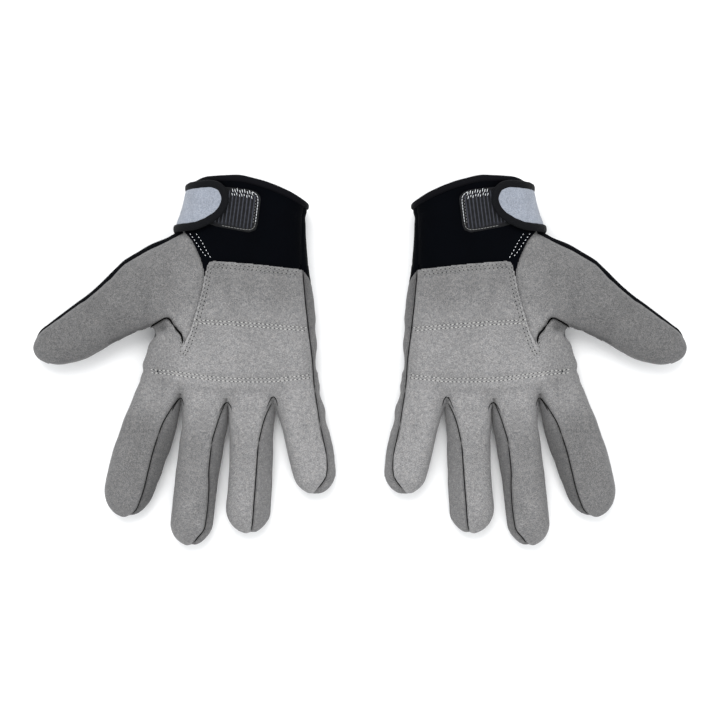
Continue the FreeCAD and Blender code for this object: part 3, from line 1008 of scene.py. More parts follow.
class Net:
    def __init__(self, name):
        self.m = bpy.data.materials.new(name)
        self.m.use_nodes = True
        self.t = self.m.node_tree
        self.t.nodes.clear()
        self.out = self.t.nodes.new("ShaderNodeOutputMaterial")
        self.b = self.t.nodes.new("ShaderNodeBsdfPrincipled")
        self.link(self.b.outputs[0], self.out.inputs[0])
        a = self.t.nodes.new("ShaderNodeAttribute")
        a.attribute_name = "rest"
        self.pos = a.outputs["Vector"]

    def link(self, a, b):
        self.t.links.new(a, b)

    def val(self, node, key, v):
        if hasattr(v, "is_linked"):
            self.link(v, node.inputs[key])
        else:
            node.inputs[key].default_value = v

    def noise(self, scale, detail=2.0, rough=0.55, vec=None, distort=0.0):
        n = self.t.nodes.new("ShaderNodeTexNoise")
        self.link(vec or self.pos, n.inputs["Vector"])
        n.inputs["Scale"].default_value = scale
        n.inputs["Detail"].default_value = detail
        n.inputs["Roughness"].default_value = rough
        n.inputs["Distortion"].default_value = distort
        return n.outputs["Fac"]

    def wave(self, scale, direction="X", distort=0.0, vec=None, profile="SIN"):
        n = self.t.nodes.new("ShaderNodeTexWave")
        n.bands_direction = direction
        n.wave_profile = profile
        self.link(vec or self.pos, n.inputs["Vector"])
        n.inputs["Scale"].default_value = scale
        n.inputs["Distortion"].default_value = distort
        return n.outputs["Fac"]

    def cells(self, scale, vec=None):
        n = self.t.nodes.new("ShaderNodeTexVoronoi")
        self.link(vec or self.pos, n.inputs["Vector"])
        n.inputs["Scale"].default_value = scale
        return n.outputs["Distance"]

    def stretch(self, sx, sy, sz):
        n = self.t.nodes.new("ShaderNodeMapping")
        self.link(self.pos, n.inputs["Vector"])
        n.inputs["Scale"].default_value = (sx, sy, sz)
        return n.outputs[0]

    def math(self, op, a, b=0.0, c=0.0):
        n = self.t.nodes.new("ShaderNodeMath")
        n.operation = op
        for i, v in enumerate((a, b, c)):
            self.val(n, i, v)
        return n.outputs[0]

    def ramp(self, fac, lo, hi, a, b):
        n = self.t.nodes.new("ShaderNodeMapRange")
        self.val(n, 0, fac)
        for i, v in enumerate((lo, hi, a, b)):
            n.inputs[i + 1].default_value = v
        return n.outputs[0]

    def tint(self, colour, fac):
        """colour times a grey factor."""
        n = self.t.nodes.new("ShaderNodeMix")
        n.data_type = "RGBA"
        n.blend_type = "MULTIPLY"
        n.inputs["Factor"].default_value = 1.0
        if hasattr(colour, "is_linked"):
            self.link(colour, n.inputs["A"])
        else:
            n.inputs["A"].default_value = colour
        self.link(fac, n.inputs["B"])
        return n.outputs["Result"]

    def mix(self, fac, a, b):
        n = self.t.nodes.new("ShaderNodeMix")
        n.data_type = "RGBA"
        self.val(n, "Factor", fac)
        for k, v in (("A", a), ("B", b)):
            if hasattr(v, "is_linked"):
                self.link(v, n.inputs[k])
            else:
                n.inputs[k].default_value = v
        return n.outputs["Result"]

    def tone(self, name="tone"):
        a = self.t.nodes.new("ShaderNodeAttribute")
        a.attribute_name = name
        return a.outputs["Fac"]

    def bump(self, height, strength, dist):
        n = self.t.nodes.new("ShaderNodeBump")
        n.inputs["Strength"].default_value = strength
        n.inputs["Distance"].default_value = dist
        self.link(height, n.inputs["Height"])
        self.link(n.outputs[0], self.b.inputs["Normal"])

    def done(self, colour, rough=0.9, sheen=0.0, sheen_rough=0.5,
             sheen_tint=(1, 1, 1, 1), spec=0.3):
        if hasattr(colour, "is_linked"):
            self.link(colour, self.b.inputs["Base Color"])
        else:
            self.b.inputs["Base Color"].default_value = colour
        self.val(self.b, "Roughness", rough)
        self.b.inputs["Sheen Weight"].default_value = sheen
        self.b.inputs["Sheen Roughness"].default_value = sheen_rough
        self.b.inputs["Sheen Tint"].default_value = sheen_tint
        self.b.inputs["Specular IOR Level"].default_value = spec
        return self.m


def suede(name, colour, strength=1.0):
    n = Net(name)
    fine = n.noise(1650, 3.0, 0.75)
    mid = n.noise(560, 3.0, 0.62, distort=0.4)
    broad = n.noise(90, 2.0, 0.5)
    nap = n.noise(45, 2.0, 0.5, vec=n.stretch(1.0, 0.45, 1.0), distort=1.2)
    pores = n.ramp(n.cells(1500), 0.0, 0.45, 0.9, 1.03)
    f = n.math("MULTIPLY", n.ramp(fine, 0.30, 0.70, 1 - 0.55 * strength,
                                  1 + 0.55 * strength),
               n.ramp(mid, 0.3, 0.7, 1 - 0.20 * strength,
                      1 + 0.20 * strength))
    f = n.math("MULTIPLY", f, n.ramp(broad, 0.3, 0.7, 0.95, 1.05))
    f = n.math("MULTIPLY", f, n.ramp(nap, 0.3, 0.7, 0.94, 1.06))
    f = n.math("MULTIPLY", f, pores)
    f = n.math("MULTIPLY", f, n.tone())
    warm = n.mix(n.ramp(mid, 0.3, 0.7, 0.0, 1.0), colour,
                 tuple(c * k for c, k in zip(colour, (1.03, 1.0, 0.965, 1))))
    h = n.math("ADD", n.math("MULTIPLY", fine, 0.6),
               n.math("MULTIPLY", mid, 0.9))
    n.bump(h, 0.55, 0.00035)
    return n.done(n.tint(warm, f), n.ramp(fine, 0.3, 0.7, 0.86, 1.0),
                  sheen=0.12, sheen_rough=0.6, spec=0.1)


def neoprene(name, colour, sheen=0.2):
    """Knit-faced neoprene: fine rows of loops, a little fuzz."""
    n = Net(name)
    w1 = n.wave(950, "DIAGONAL", 0.6)
    w2 = n.wave(950, "X", 0.8, vec=n.stretch(1.0, -1.0, 1.0))
    knit = n.math("MULTIPLY", w1, w2)
    fuzz = n.noise(1500, 3.0, 0.7)
    broad = n.noise(70, 2.0, 0.5)
    f = n.math("MULTIPLY", n.ramp(fuzz, 0.3, 0.7, 0.72, 1.28),
               n.ramp(broad, 0.3, 0.7, 0.86, 1.14))
    f = n.math("MULTIPLY", f, n.ramp(knit, 0.0, 1.0, 0.86, 1.22))
    f = n.math("MULTIPLY", f, n.tone())
    n.bump(n.math("ADD", knit, n.math("MULTIPLY", fuzz, 0.7)), 0.5, 0.00025)
    return n.done(n.tint(colour, f), n.ramp(fuzz, 0.3, 0.7, 0.72, 0.92),
                  sheen=sheen, sheen_rough=0.45,
                  sheen_tint=(0.75, 0.8, 1.0, 1), spec=0.03)


def tape(name, colour, toned=False, sheen=0.04, spec=0.18):
    """Woven elastic tape: fine cross ribs."""
    n = Net(name)
    a = n.tone("along")
    rib = n.math("SINE", n.math("MULTIPLY", a, 2 * math.pi / 0.00085))
    c = n.tone("across")
    weft = n.math("SINE", n.math("MULTIPLY", c, 2 * math.pi / 0.0011))
    weave = n.math("MULTIPLY_ADD", n.math("MULTIPLY", rib, weft), 0.5, 0.5)
    fuzz = n.noise(1400, 2.0, 0.6)
    f = n.math("MULTIPLY", n.ramp(weave, 0.0, 1.0, 0.75, 1.25),
               n.ramp(fuzz, 0.3, 0.7, 0.8, 1.2))
    if toned:
        f = n.math("MULTIPLY", f, n.tone())
    n.bump(n.math("ADD", weave, n.math("MULTIPLY", fuzz, 0.4)), 0.5, 0.0002)
    return n.done(n.tint(colour, f), n.ramp(fuzz, 0.3, 0.7, 0.68, 0.86),
                  sheen=sheen, sheen_rough=0.5, spec=spec)


def thread(name, colour):
    n = Net(name)
    tw = n.math("SINE", n.math("MULTIPLY", n.tone("along"),
                               2 * math.pi / 0.0005))
    fz = n.noise(1800, 2.0, 0.6)
    f = n.math("MULTIPLY", n.ramp(tw, -1.0, 1.0, 0.82, 1.1),
               n.ramp(fz, 0.3, 0.7, 0.88, 1.1))
    n.bump(tw, 0.4, 0.0001)
    return n.done(n.tint(colour, f), n.ramp(fz, 0.3, 0.7, 0.55, 0.75),
                  sheen=0.1, spec=0.35)


def fleece(name, colour):
    n = Net(name)
    a = n.noise(700, 4.0, 0.7)
    b = n.noise(160, 2.0, 0.5)
    f = n.math("MULTIPLY", n.ramp(a, 0.3, 0.7, 0.6, 1.4),
               n.ramp(b, 0.3, 0.7, 0.85, 1.15))
    n.bump(a, 0.7, 0.0006)
    return n.done(n.tint(colour, f), n.ramp(a, 0.3, 0.7, 0.85, 1.0),
                  sheen=0.2, spec=0.15)


def hooks(name, colour):
    n = Net(name)
    c = n.cells(1100)
    f = n.ramp(c, 0.0, 0.5, 1.35, 0.7)
    n.bump(n.ramp(c, 0.0, 0.5, 1.0, 0.0), 0.8, 0.0004)
    return n.done(n.tint(colour, f), n.ramp(c, 0.0, 0.5, 0.5, 0.7), spec=0.4)


M_SUEDE = suede("suede_grey", srgb(119, 119, 120))
M_STRAP = suede("suede_strap", srgb(131, 137, 148), 0.6)
M_NEO = neoprene("neoprene_knit", srgb(2, 3, 6), 0.0)
M_LINING = fleece("lining_fleece", srgb(30, 31, 35))
M_BIND = tape("binding_weave", srgb(4, 5, 8), False, 0.008, 0.12)
M_EDGE = tape("binding_dark", srgb(4, 4, 8), False, 0.0, 0.08)
M_LOOP = tape("loop_webbing", srgb(24, 25, 29), True)
M_HOOK = hooks("hook_plastic", srgb(26, 27, 30))
M_THREAD = thread("thread_pale", srgb(196, 196, 192))
M_THREAD2 = thread("thread_white", srgb(226, 228, 230))
M_GREY_THREAD = thread("thread_grey", srgb(128, 128, 126))
# a dark material standing in for shade: painted shade in the needle holes and in the seam lines
M_PAINTED_SHADE = fleece("painted_shade_dark", srgb(20, 20, 20))


# =====================================================================
# putting meshes into the scene, for both hands
# =====================================================================
def suede_painted_light(v):
    """Painted light and shade on the suede: each part lighter or darker as the light falls on it.
    """
    x, y = v[:, 0], v[:, 1]
    # painted light and shade: lighter towards the fingers, darker towards the cuff and along the
    # thumb's side
    base = 0.76 + 0.27 * sstep(46, 10, y) + 0.07 * sstep(4, -14, y)
    base = base * (1 - 0.12 * sstep(98, 112, x))
    own = nearest_digit(x, y)
    tone = base.copy()
    # painted light and shade per digit: the little finger lightest, the index and the thumb
    # darkest, as the light falls
    target = {"index_finger": 0.68, "middle_finger": 0.81,
              "ring_finger": 1.00, "little_finger": 1.12, "thumb": 0.59}
    for k, name in enumerate(DIGITS):
        s, t = local(name, x, y)
        m = own == k
        w = sstep(-2, 30, s) if name != "thumb" else sstep(-30, 25, s)
        tone[m] = (base * (1 - w) + target[name] * w)[m]
    # painted shadow where the fabric tucks in under the thumb's web
    tone = tone * (1 - 0.5 * bump(np.hypot((x - 117.0) * 0.8, y - 20.0), 3.4)
                   * (v[:, 2] > 9))
    return tone


def put(name, side, v, q, mats, fm=None, normals=None, attrs=None,
        smooth=True):
    """One mesh of the left glove, mirrored for the right one."""
    v = np.asarray(v, float)
    rows = q if isinstance(q, list) else [q]
    vv = v.copy()
    if side == "right":
        vv[:, 0] *= -1
        rows2 = [r[:, ::-1] for r in rows]
        if normals is not None:
            out, at = [], 0
            for r in rows:
                c = r.size
                nn = normals[at:at + c].reshape(len(r), r.shape[1], 3)[:, ::-1]
                nn = nn.reshape(-1, 3) * np.array([-1.0, 1, 1])
                out.append(nn)
                at += c
            normals = np.concatenate(out)
        rows = rows2
    o = mesh_object("%s_%s" % (side, name), vv, rows, mats[0],
                    normals=normals, smooth=smooth)
    for m in mats[1:]:
        o.data.materials.append(m)
    if fm is not None and len(o.data.polygons) == len(fm):
        o.data.polygons.foreach_set("material_index",
                                    np.asarray(fm, np.int32))
    if len(o.data.vertices) == len(v):
        a = o.data.attributes.new("rest", "FLOAT_VECTOR", "POINT")
        a.data.foreach_set("vector", (v * 0.001).astype(np.float32).ravel())
        for k, val in (attrs or {}).items():
            a = o.data.attributes.new(k, "FLOAT", "POINT")
            a.data.foreach_set("value", np.asarray(val, np.float32))
    o.data.update()
    return o


# =====================================================================
# the finished skin, for placing threads on it
# =====================================================================
from mathutils.bvhtree import BVHTree

_vs = np.concatenate([GROUPS[g][0] for g in range(6)])
_fs = np.concatenate([GROUPS[g][2] + g * NV for g in range(6)])
TREE = BVHTree.FromPolygons(_vs.tolist(), _fs.tolist())


def drop(x, y):
    """Point and normal of the skin straight below (x, y)."""
    hit = TREE.ray_cast(Vector((x, y, 90.0)), Vector((0, 0, -1)))
    if hit[0] is None:
        return None, None
    n = np.array(hit[1])
    if n[2] < 0:
        n = -n
    return np.array(hit[0]), n


def resample(line, step, start=0.0):
    p = np.asarray(line, float)
    seg_ = np.r_[0, np.cumsum(np.linalg.norm(np.diff(p, axis=0), axis=1))]
    q = np.arange(start, seg_[-1], step)
    return np.stack([np.interp(q, seg_, p[:, k]) for k in range(p.shape[1])],
                    1)


def offset_line(line, dist):
    """dist to the left of the line's direction."""
    p = np.asarray(line, float)
    t = np.gradient(p, axis=0)
    t /= np.linalg.norm(t, axis=1)[:, None]
    return p + np.stack([-t[:, 1], t[:, 0]], 1) * dist


def tube(path, nrm, wide, high, k=14, closed=False, square=2.6, caps=True):
    """A flattened round bead along a path: returns v, quads, along, across."""
    path, nrm = np.asarray(path, float), np.asarray(nrm, float)
    if closed:
        tan = np.roll(path, -1, 0) - np.roll(path, 1, 0)
    else:
        tan = np.gradient(path, axis=0)
    tan /= np.linalg.norm(tan, axis=1)[:, None]
    nrm = nrm - (nrm * tan).sum(1)[:, None] * tan
    nrm /= np.linalg.norm(nrm, axis=1)[:, None]
    bi = np.cross(tan, nrm)
    ang = np.arange(k) * 2 * math.pi / k
    cu = np.sign(np.cos(ang)) * np.abs(np.cos(ang)) ** (2 / square)
    cv = np.sign(np.sin(ang)) * np.abs(np.sin(ang)) ** (2 / square)
    wide = np.broadcast_to(wide, (len(path),))
    high = np.broadcast_to(high, (len(path),))
    v = (path[:, None, :] + (wide[:, None] * cu[None])[..., None]
         * bi[:, None, :] + (high[:, None] * cv[None])[..., None]
         * nrm[:, None, :])
    n = len(path)
    ds = np.linalg.norm(np.diff(path, axis=0), axis=1)
    al = np.repeat(np.r_[0, np.cumsum(ds)], k)
    ac = np.tile(ang / (2 * math.pi) * 2 * (wide.mean() + high.mean()) * 1.5,
                 n)
    q = []
    m = n if closed else n - 1
    for i in range(m):
        i2 = (i + 1) % n
        for j in range(k):
            j2 = (j + 1) % k
            q.append((i * k + j, i * k + j2, i2 * k + j2, i2 * k + j))
    v = v.reshape(-1, 3)
    tr = []
    if not closed and caps:
        c0, c1 = len(v), len(v) + 1
        v = np.concatenate([v, [path[0] - tan[0] * 0.5 * high[0],
                                path[-1] + tan[-1] * 0.5 * high[-1]]])
        al = np.r_[al, 0, al[-1]]
        ac = np.r_[ac, 0, 0]
        for j in range(k):
            j2 = (j + 1) % k
            tr.append((c0, j2, j))
            tr.append((c1, (n - 1) * k + j, (n - 1) * k + j2))
    rows = [np.array(q)]
    if tr:
        rows.append(np.array(tr))
    # outward orientation
    fn = face_normals(v, rows[0])
    cen = v[rows[0]].mean(1)
    ring_c = np.repeat(path[:m], k, axis=0)
    if (fn * (cen - ring_c)).sum() < 0:
        rows = [r[:, ::-1] for r in rows]
    return v, rows, al * 0.001, ac * 0.001


def seam_shade_tube(points, r=0.34, down=0.05, least=0.12, jump=4.5):
    """A thin dark tube lying in a seam, following the skin: painted shade in the seam."""
    pp, nn = [], []
    for x, y in points:
        p, n = drop(x, y)
        if p is None or n[2] < least:
            continue
        if pp and np.linalg.norm(p - pp[-1]) > jump:
            break
        pp.append(p - n * down)
        nn.append(n)
    if len(pp) < 4:
        return None
    pp, nn = np.array(pp), np.array(nn)
    for _ in range(2):
        pp[1:-1] = 0.25 * pp[:-2] + 0.5 * pp[1:-1] + 0.25 * pp[2:]
        nn[1:-1] = 0.25 * nn[:-2] + 0.5 * nn[1:-1] + 0.25 * nn[2:]
    taper = np.minimum(1.0, 0.35 + 0.2 * np.minimum(
        np.arange(len(pp)), np.arange(len(pp))[::-1]))
    v, rows, al, ac = tube(pp, nn, r * taper, r * 0.9 * taper, 8,
                           square=2.0)
    return v, rows


EXTRA = {}


def add_seam_shade_tube(panel_name, points, **k):
    c = seam_shade_tube(points, **k)
    if c is not None:
        EXTRA.setdefault(panel_name, []).append(c)


def on_digit(name, s, t):
    g = DIG[name]
    return (g["c"][0] + g["d"][0] * s + g["p"][0] * t,
            g["c"][1] + g["d"][1] * s + g["p"][1] * t)


# painted shade: dark tubes along each finger's side seam, the gusset seam and the web seam
for _n in FINGERS[:3]:
    g = DIG[_n]
    for _part, _s0, _s1 in (("base", 1.0, CUTS[_n]),
                            ("tip", CUTS[_n], g["L"] - 1.0)):
        ss = np.arange(_s0, _s1 + 0.01, 0.8)
        add_seam_shade_tube("%s_%s_palm_side" % (_n, _part),
                   [on_digit(_n, a, -float(g["fs"](a)) - 0.1) for a in ss])
# painted shade: a dark rim round the top of each gap between fingers
for _rim in ([(112.0, -30.4), (110.4, -26.8), (108.6, -23.8), (106.8, -22.3),
              (105.3, -24.6), (104.6, -28.0)],
             [(83.6, -31.0), (82.0, -27.6), (80.4, -25.6), (78.8, -25.2),
              (77.2, -26.8), (76.2, -29.6)],
             [(55.6, -28.6), (54.0, -24.6), (52.6, -22.2), (51.2, -21.6),
              (49.8, -24.0), (48.8, -28.0)]):
    add_seam_shade_tube("palm_panel", resample(_rim, 0.6), r=0.36,
               down=0.05)
_u = resample(L_ULNAR, 0.8)
_s, _t = local("little_finger", _u[:, 0], _u[:, 1])
_b0, _c0 = BEND0["little_finger"][0], CUTS["little_finger"]
add_seam_shade_tube("ulnar_gusset", [p for p, a in zip(_u, _s)
                            if a < _b0 and p[1] < 53.0])
add_seam_shade_tube("little_finger_base_palm_side",
           [p for p, a in zip(_u, _s) if _b0 <= a < _c0])
add_seam_shade_tube("little_finger_tip_palm_side",
           [p for p, a in zip(_u, _s) if a >= _c0])
_w = np.asarray(resample(L_WEB, 0.8)) + np.array([0.55, -0.6])
_s, _t = local("thumb", _w[:, 0], _w[:, 1])
_b0 = BEND0["thumb"][0]
add_seam_shade_tube("palm_panel", [p for p, a in zip(_w, _s)
                          if a < _b0 + 0.4 and p[0] < 114.0],
           r=0.62, down=-1.0, jump=9.0)
add_seam_shade_tube("thumb_base_palm_side",
           [p for p, a in zip(_w, _s) if _b0 <= a < 6.0 and p[0] > 109.0],
           r=0.58, down=-1.0, jump=9.0)


def seam_highlight_and_shade(v, gid):
    """Painted highlight on the folded edge and painted shade in the crease beside each seam."""
    f = fields(v)
    x, y, z = v.T
    up = sstep(9.5, 12.5, z)
    t = np.ones(len(v))
    side, own = seam_near_sides(v)
    t *= {5: 1.14, 3: 1.08}.get(gid, 1.0)
    if gid in (0, 5):
        t *= 1 + up * (0.16 * bump(side - 0.9, 0.8) * (side > 0)
                       - 0.42 * bump(side + 0.3, 0.8))
    if gid in (0, 3):
        u = f["ulnar"]
        on = up * (y < 56)
        t *= 1 + on * (0.16 * bump(u - 0.9, 0.8) - 0.40 * bump(u + 0.3, 0.8))
    if gid == 0:
        on = up * (y > 6) * (own < 0)
        t *= 1 + on * 0.20 * bump(f["thumb"] + 0.3, 0.9)
        t *= 1 + up * (own < 0) * 0.14 * bump(f["palm"] + 0.3, 0.9)
    if gid == 2:
        # painted shade on the thumb panel beside the thumb's seam and along the web seam
        t *= 1 - up * (y > 6) * 0.35 * bump(f["thumb"] - 0.2, 0.9)
        t *= 1 - up * 0.45 * bump(f["web"], 1.0) * (x > 104.5) * (x < 150)
    # painted shade beside the seam to the black back
    t *= 1 - 0.25 * bump(f["back"], 0.9) * (gid != 4)
    return t


SIDES = ("left", "right")


for side in SIDES:
    for p in PANELS:
        grey = p["mats"] == "suede"
        mats = [M_SUEDE if grey else M_NEO, M_LINING]
        # the suede's tone holds painted light and shade
        tone = suede_painted_light(p["v"]) if grey else np.ones(len(p["v"]))
        if grey:
            # painted shade: side strips between the fingers (x0.66) and the gusset turned from the
            # light (x0.60) are darkened, and each seam gets its painted highlight and shade
            part = np.ones(len(p["v"]))
            for gid, k in ((0, 1.0), (2, 1.0), (5, 0.66), (3, 0.60)):
                vid = np.unique(p["q"][p["m"] == gid].ravel())
                if len(vid):
                    part[vid] = k * seam_highlight_and_shade(p["v"][vid], gid)
            tone = tone * part
        fm = np.where(p["m"] == 10, 1, 0)
        vv, rows, nn = [p["v"]], [[p["q"]], []], [[p["n"]], []]
        fms, off = [[fm], []], len(p["v"])
        # the dark seam tubes take material slot 2, the painted shade material
        for cv, crows in EXTRA.get(p["name"], []):
            cn = np.zeros_like(cv)
            for r_ in crows:
                cn += vertex_normals(cv, r_[:, [0, 1, 2]])
            cn /= np.linalg.norm(cn, axis=1)[:, None] + 1e-9
            for r_ in crows:
                k_ = 0 if r_.shape[1] == 4 else 1
                rows[k_].append(r_ + off)
                nn[k_].append(cn[r_].reshape(-1, 3))
                fms[k_].append(np.full(len(r_), 2))
            vv.append(cv)
            off += len(cv)
            tone = np.r_[tone, np.ones(len(cv))]
        rows = [np.concatenate(r_) for r_ in rows if r_]
        o = put(p["name"], side, np.concatenate(vv), rows,
                mats + [M_PAINTED_SHADE], np.concatenate([m_ for f_ in fms
                                                 for m_ in f_]),
                np.concatenate([m_ for n_ in nn for m_ in n_]),
                {"tone": tone})
        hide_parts("%s_%s" % (side, p["node"]))
        if p["ride"]:
            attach(o, "%s_%s" % (side, p["ride"]))
        else:
            a, b, st, en = p["blend"]
            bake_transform(o)

class Soup:
    """Collects many small closed shapes into one mesh."""

    def __init__(self):
        self.v, self.q, self.t, self.al = [], [], [], []
        self.n = 0

    def add(self, v, quads, tris, along=None):
        self.v.append(v)
        if len(quads):
            self.q.append(np.asarray(quads) + self.n)
        if len(tris):
            self.t.append(np.asarray(tris) + self.n)
        self.al.append(np.zeros(len(v)) if along is None else along)
        self.n += len(v)

    def stitch(self, p, tan, nrm, length, r, arch=0.35, sink=0.18):
        tan = tan / np.linalg.norm(tan)
        nrm = nrm - tan * (nrm @ tan)
        nrm /= np.linalg.norm(nrm)
        bi = np.cross(tan, nrm)
        ts = np.array([-1.0, -0.78, -0.3, 0.3, 0.78, 1.0])
        rs = r * np.array([0.35, 0.85, 1.0, 1.0, 0.85, 0.35])
        k = 6
        ang = np.arange(k) * 2 * math.pi / k
        v = []
        for t_, r_ in zip(ts, rs):
            c = p + tan * t_ * length / 2 + nrm * (
                arch * (1 - t_ * t_) - sink)
            for a in ang:
                v.append(c + r_ * (math.cos(a) * bi + math.sin(a) * nrm))
        v.append(p - tan * (length / 2 + 0.1) - nrm * sink)
        v.append(p + tan * (length / 2 + 0.1) - nrm * sink)
        q, tr = [], []
        for i in range(len(ts) - 1):
            for j in range(k):
                a, b = i * k + j, i * k + (j + 1) % k
                q.append((a, a + k, b + k, b))
        e = (len(ts) - 1) * k
        for j in range(k):
            tr.append((len(ts) * k, j, (j + 1) % k))
            tr.append((len(ts) * k + 1, e + (j + 1) % k, e + j))
        al = np.r_[np.repeat(ts * length / 2, k), -length / 2, length / 2]
        self.add(np.array(v), q, tr, al * 0.001)

    # a small cone at a needle hole; with the dark material it is painted shade in the hole
    def hole(self, p, nrm, r, up=0.09, tan=None, stretch=1.0):
        nrm = nrm / np.linalg.norm(nrm)
        a = np.cross(nrm, (0.0, 1.0, 0.2)) if tan is None else \
            tan - nrm * (tan @ nrm)
        a /= np.linalg.norm(a)
        b = np.cross(nrm, a)
        k = 8
        ang = np.arange(k) * 2 * math.pi / k
        v = [p + r * (stretch * math.cos(t_) * a + math.sin(t_) * b)
             - nrm * 0.05 for t_ in ang]
        v += [p + nrm * up, p - nrm * 0.3]
        tr = []
        for j in range(k):
            tr.append((j, (j + 1) % k, k))
            tr.append(((j + 1) % k, j, k + 1))
        self.add(np.array(v), [], tr)

    def build(self, name, side, mat):
        rows = []
        if self.q:
            rows.append(np.concatenate(self.q))
        if self.t:
            rows.append(np.concatenate(self.t))
        return put(name, side, np.concatenate(self.v), rows, [mat],
                   attrs={"along": np.concatenate(self.al)})


def row(line, pitch, soup=None, holes=None, length=1.7, r=0.22, hole_r=0.50,
        start=0.0, arch=0.3, sink=0.14, keep=None):
    """A row of stitches along a line drawn on the palm."""
    pts = resample(line, pitch, start)
    for i in range(len(pts)):
        a = pts[max(i - 1, 0)]
        b = pts[min(i + 1, len(pts) - 1)]
        p, n = drop(*pts[i])
        if p is None or (keep is not None and not keep(pts[i])):
            continue
        pa, _ = drop(*(pts[i] + (b - a) * 0.1))
        pb, _ = drop(*(pts[i] - (b - a) * 0.1))
        if pa is None or pb is None:
            continue
        tan = pa - pb
        if abs(tan[2]) > 2.0 * np.linalg.norm(tan[:2]):
            continue
        if soup is not None:
            soup.stitch(p, tan, n, length, r, arch, sink)
        if holes is not None:
            u = tan / np.linalg.norm(tan) * pitch * 0.5
            hp, hn = drop(p[0] + u[0], p[1] + u[1])
            if hp is not None:
                holes.hole(hp, hn, hole_r, tan=tan, stretch=1.15)


# =====================================================================
# the cuff section, for what is wrapped round it
# =====================================================================
ZROOT, LIFT, ST = 20.6, 2.6, 2.0
REFX = 92.0


def cuff_section(y, th):
    """Points (x, z) and outward normals of the cuff at height y."""
    e = 2.55
    xo, xi, z0, z1 = (float(f(y)) for f in (H_OUT, H_IN, H_Z0, H_Z1))
    wc, wh, zc, zh = (xo + xi) / 2, (xo - xi) / 2, (z0 + z1) / 2, (z1 - z0) / 2
    c, s = np.cos(th), np.sin(th)
    u = np.sign(c) * np.abs(c) ** (2 / e)
    w = np.sign(s) * np.abs(s) ** (2 / e)
    p = np.stack([wc + wh * u, zc + zh * w], 1)
    n = np.stack([np.sign(u) * np.abs(u) ** (e - 1) / wh,
                  np.sign(w) * np.abs(w) ** (e - 1) / zh], 1)
    n /= np.linalg.norm(n, axis=1)[:, None]
    return p, n


_cache = {}


def strip_at(y):
    """Arc position, point and normal round the cuff, from the thumb's side
    over the top. Arc 0 is at x = REFX, positive towards the thumb's side."""
    key = round(float(y), 2)
    if key not in _cache:
        th = np.linspace(-0.5, math.pi - 0.35, 420)
        p, n = cuff_section(key, th)
        q = p + n * (LIFT + 1.0)
        arc = np.r_[0, np.cumsum(np.linalg.norm(np.diff(q, axis=0), axis=1))]
        top = th > 0.15
        i = np.where(top)[0]
        ref = np.interp(-REFX, -q[i, 0], arc[i])
        a = ref - arc
        side_ = np.where((th < 0.8) & (th > -0.45))[0]
        root = np.interp(ZROOT, q[side_, 1], a[side_])
        _cache[key] = (a[::-1], p[::-1], n[::-1], root, q[::-1])
    return _cache[key]


def wrap(a, y, off):
    """3D points at arc a and height y, off above the cuff."""
    a, y = np.broadcast_arrays(np.asarray(a, float), np.asarray(y, float))
    off = np.broadcast_to(off, a.shape)
    out = np.zeros(a.shape + (3,))
    nn = np.zeros(a.shape + (3,))
    for i in np.ndindex(a.shape):
        A, P, N, _r, _q = strip_at(y[i])
        px, pz = np.interp(a[i], A, P[:, 0]), np.interp(a[i], A, P[:, 1])
        nx, nz = np.interp(a[i], A, N[:, 0]), np.interp(a[i], A, N[:, 1])
        ln = math.hypot(nx, nz)
        nx, nz = nx / ln, nz / ln
        out[i] = (px + nx * off[i], y[i], pz + nz * off[i])
        nn[i] = (nx, 0, nz)
    return out, nn


def arc_of(x, y):
    """Arc position of a point seen from above at (x, y)."""
    A, P, N, root, q = strip_at(y)
    m = (q[:, 1] > 24) & (A < root)
    o = np.argsort(q[m, 0])
    return float(np.interp(x, q[m, 0][o], A[m][o]))


def chaikin(p, times=2, closed=False):
    p = np.asarray(p, float)
    for _ in range(times):
        if closed:
            nx_ = np.roll(p, -1, 0)
            p = np.stack([0.75 * p + 0.25 * nx_, 0.25 * p + 0.75 * nx_],
                         1).reshape(-1, 2)
        else:
            q = np.stack([0.75 * p[:-1] + 0.25 * p[1:],
                          0.25 * p[:-1] + 0.75 * p[1:]], 1).reshape(-1, 2)
            p = np.concatenate([p[:1], q, p[-1:]])
    return p


def poly_rows(poly, ny, na, ease=True):
    """A grid inside a convex (arc, y) outline: arrays a[ny, na], y[ny]."""
    poly = np.asarray(poly, float)
    lo, hi = poly[:, 1].min(), poly[:, 1].max()
    t = np.linspace(0, 1, ny)
    if ease:
        t = 0.5 - 0.5 * np.cos(math.pi * t)
    ys = lo + (hi - lo) * (0.004 + 0.992 * t)
    A = np.zeros((ny, na))
    for i, y in enumerate(ys):
        xs = []
        for k in range(len(poly)):
            (x0, y0), (x1, y1) = poly[k], poly[(k + 1) % len(poly)]
            if (y0 - y) * (y1 - y) <= 0 and abs(y1 - y0) > 1e-9:
                xs.append(x0 + (x1 - x0) * (y - y0) / (y1 - y0))
        A[i] = np.linspace(min(xs), max(xs), na)
    return A, np.repeat(ys[:, None], na, 1)


def edge_dist(poly, A, Y):
    best = np.full(A.shape, 1e9)
    poly = np.asarray(poly, float)
    for k in range(len(poly)):
        x0, y0 = poly[k]
        dx, dy = poly[(k + 1) % len(poly)] - poly[k]
        ll = dx * dx + dy * dy + 1e-12
        t = np.clip(((A - x0) * dx + (Y - y0) * dy) / ll, 0, 1)
        best = np.minimum(best, np.hypot(A - x0 - t * dx, Y - y0 - t * dy))
    return best


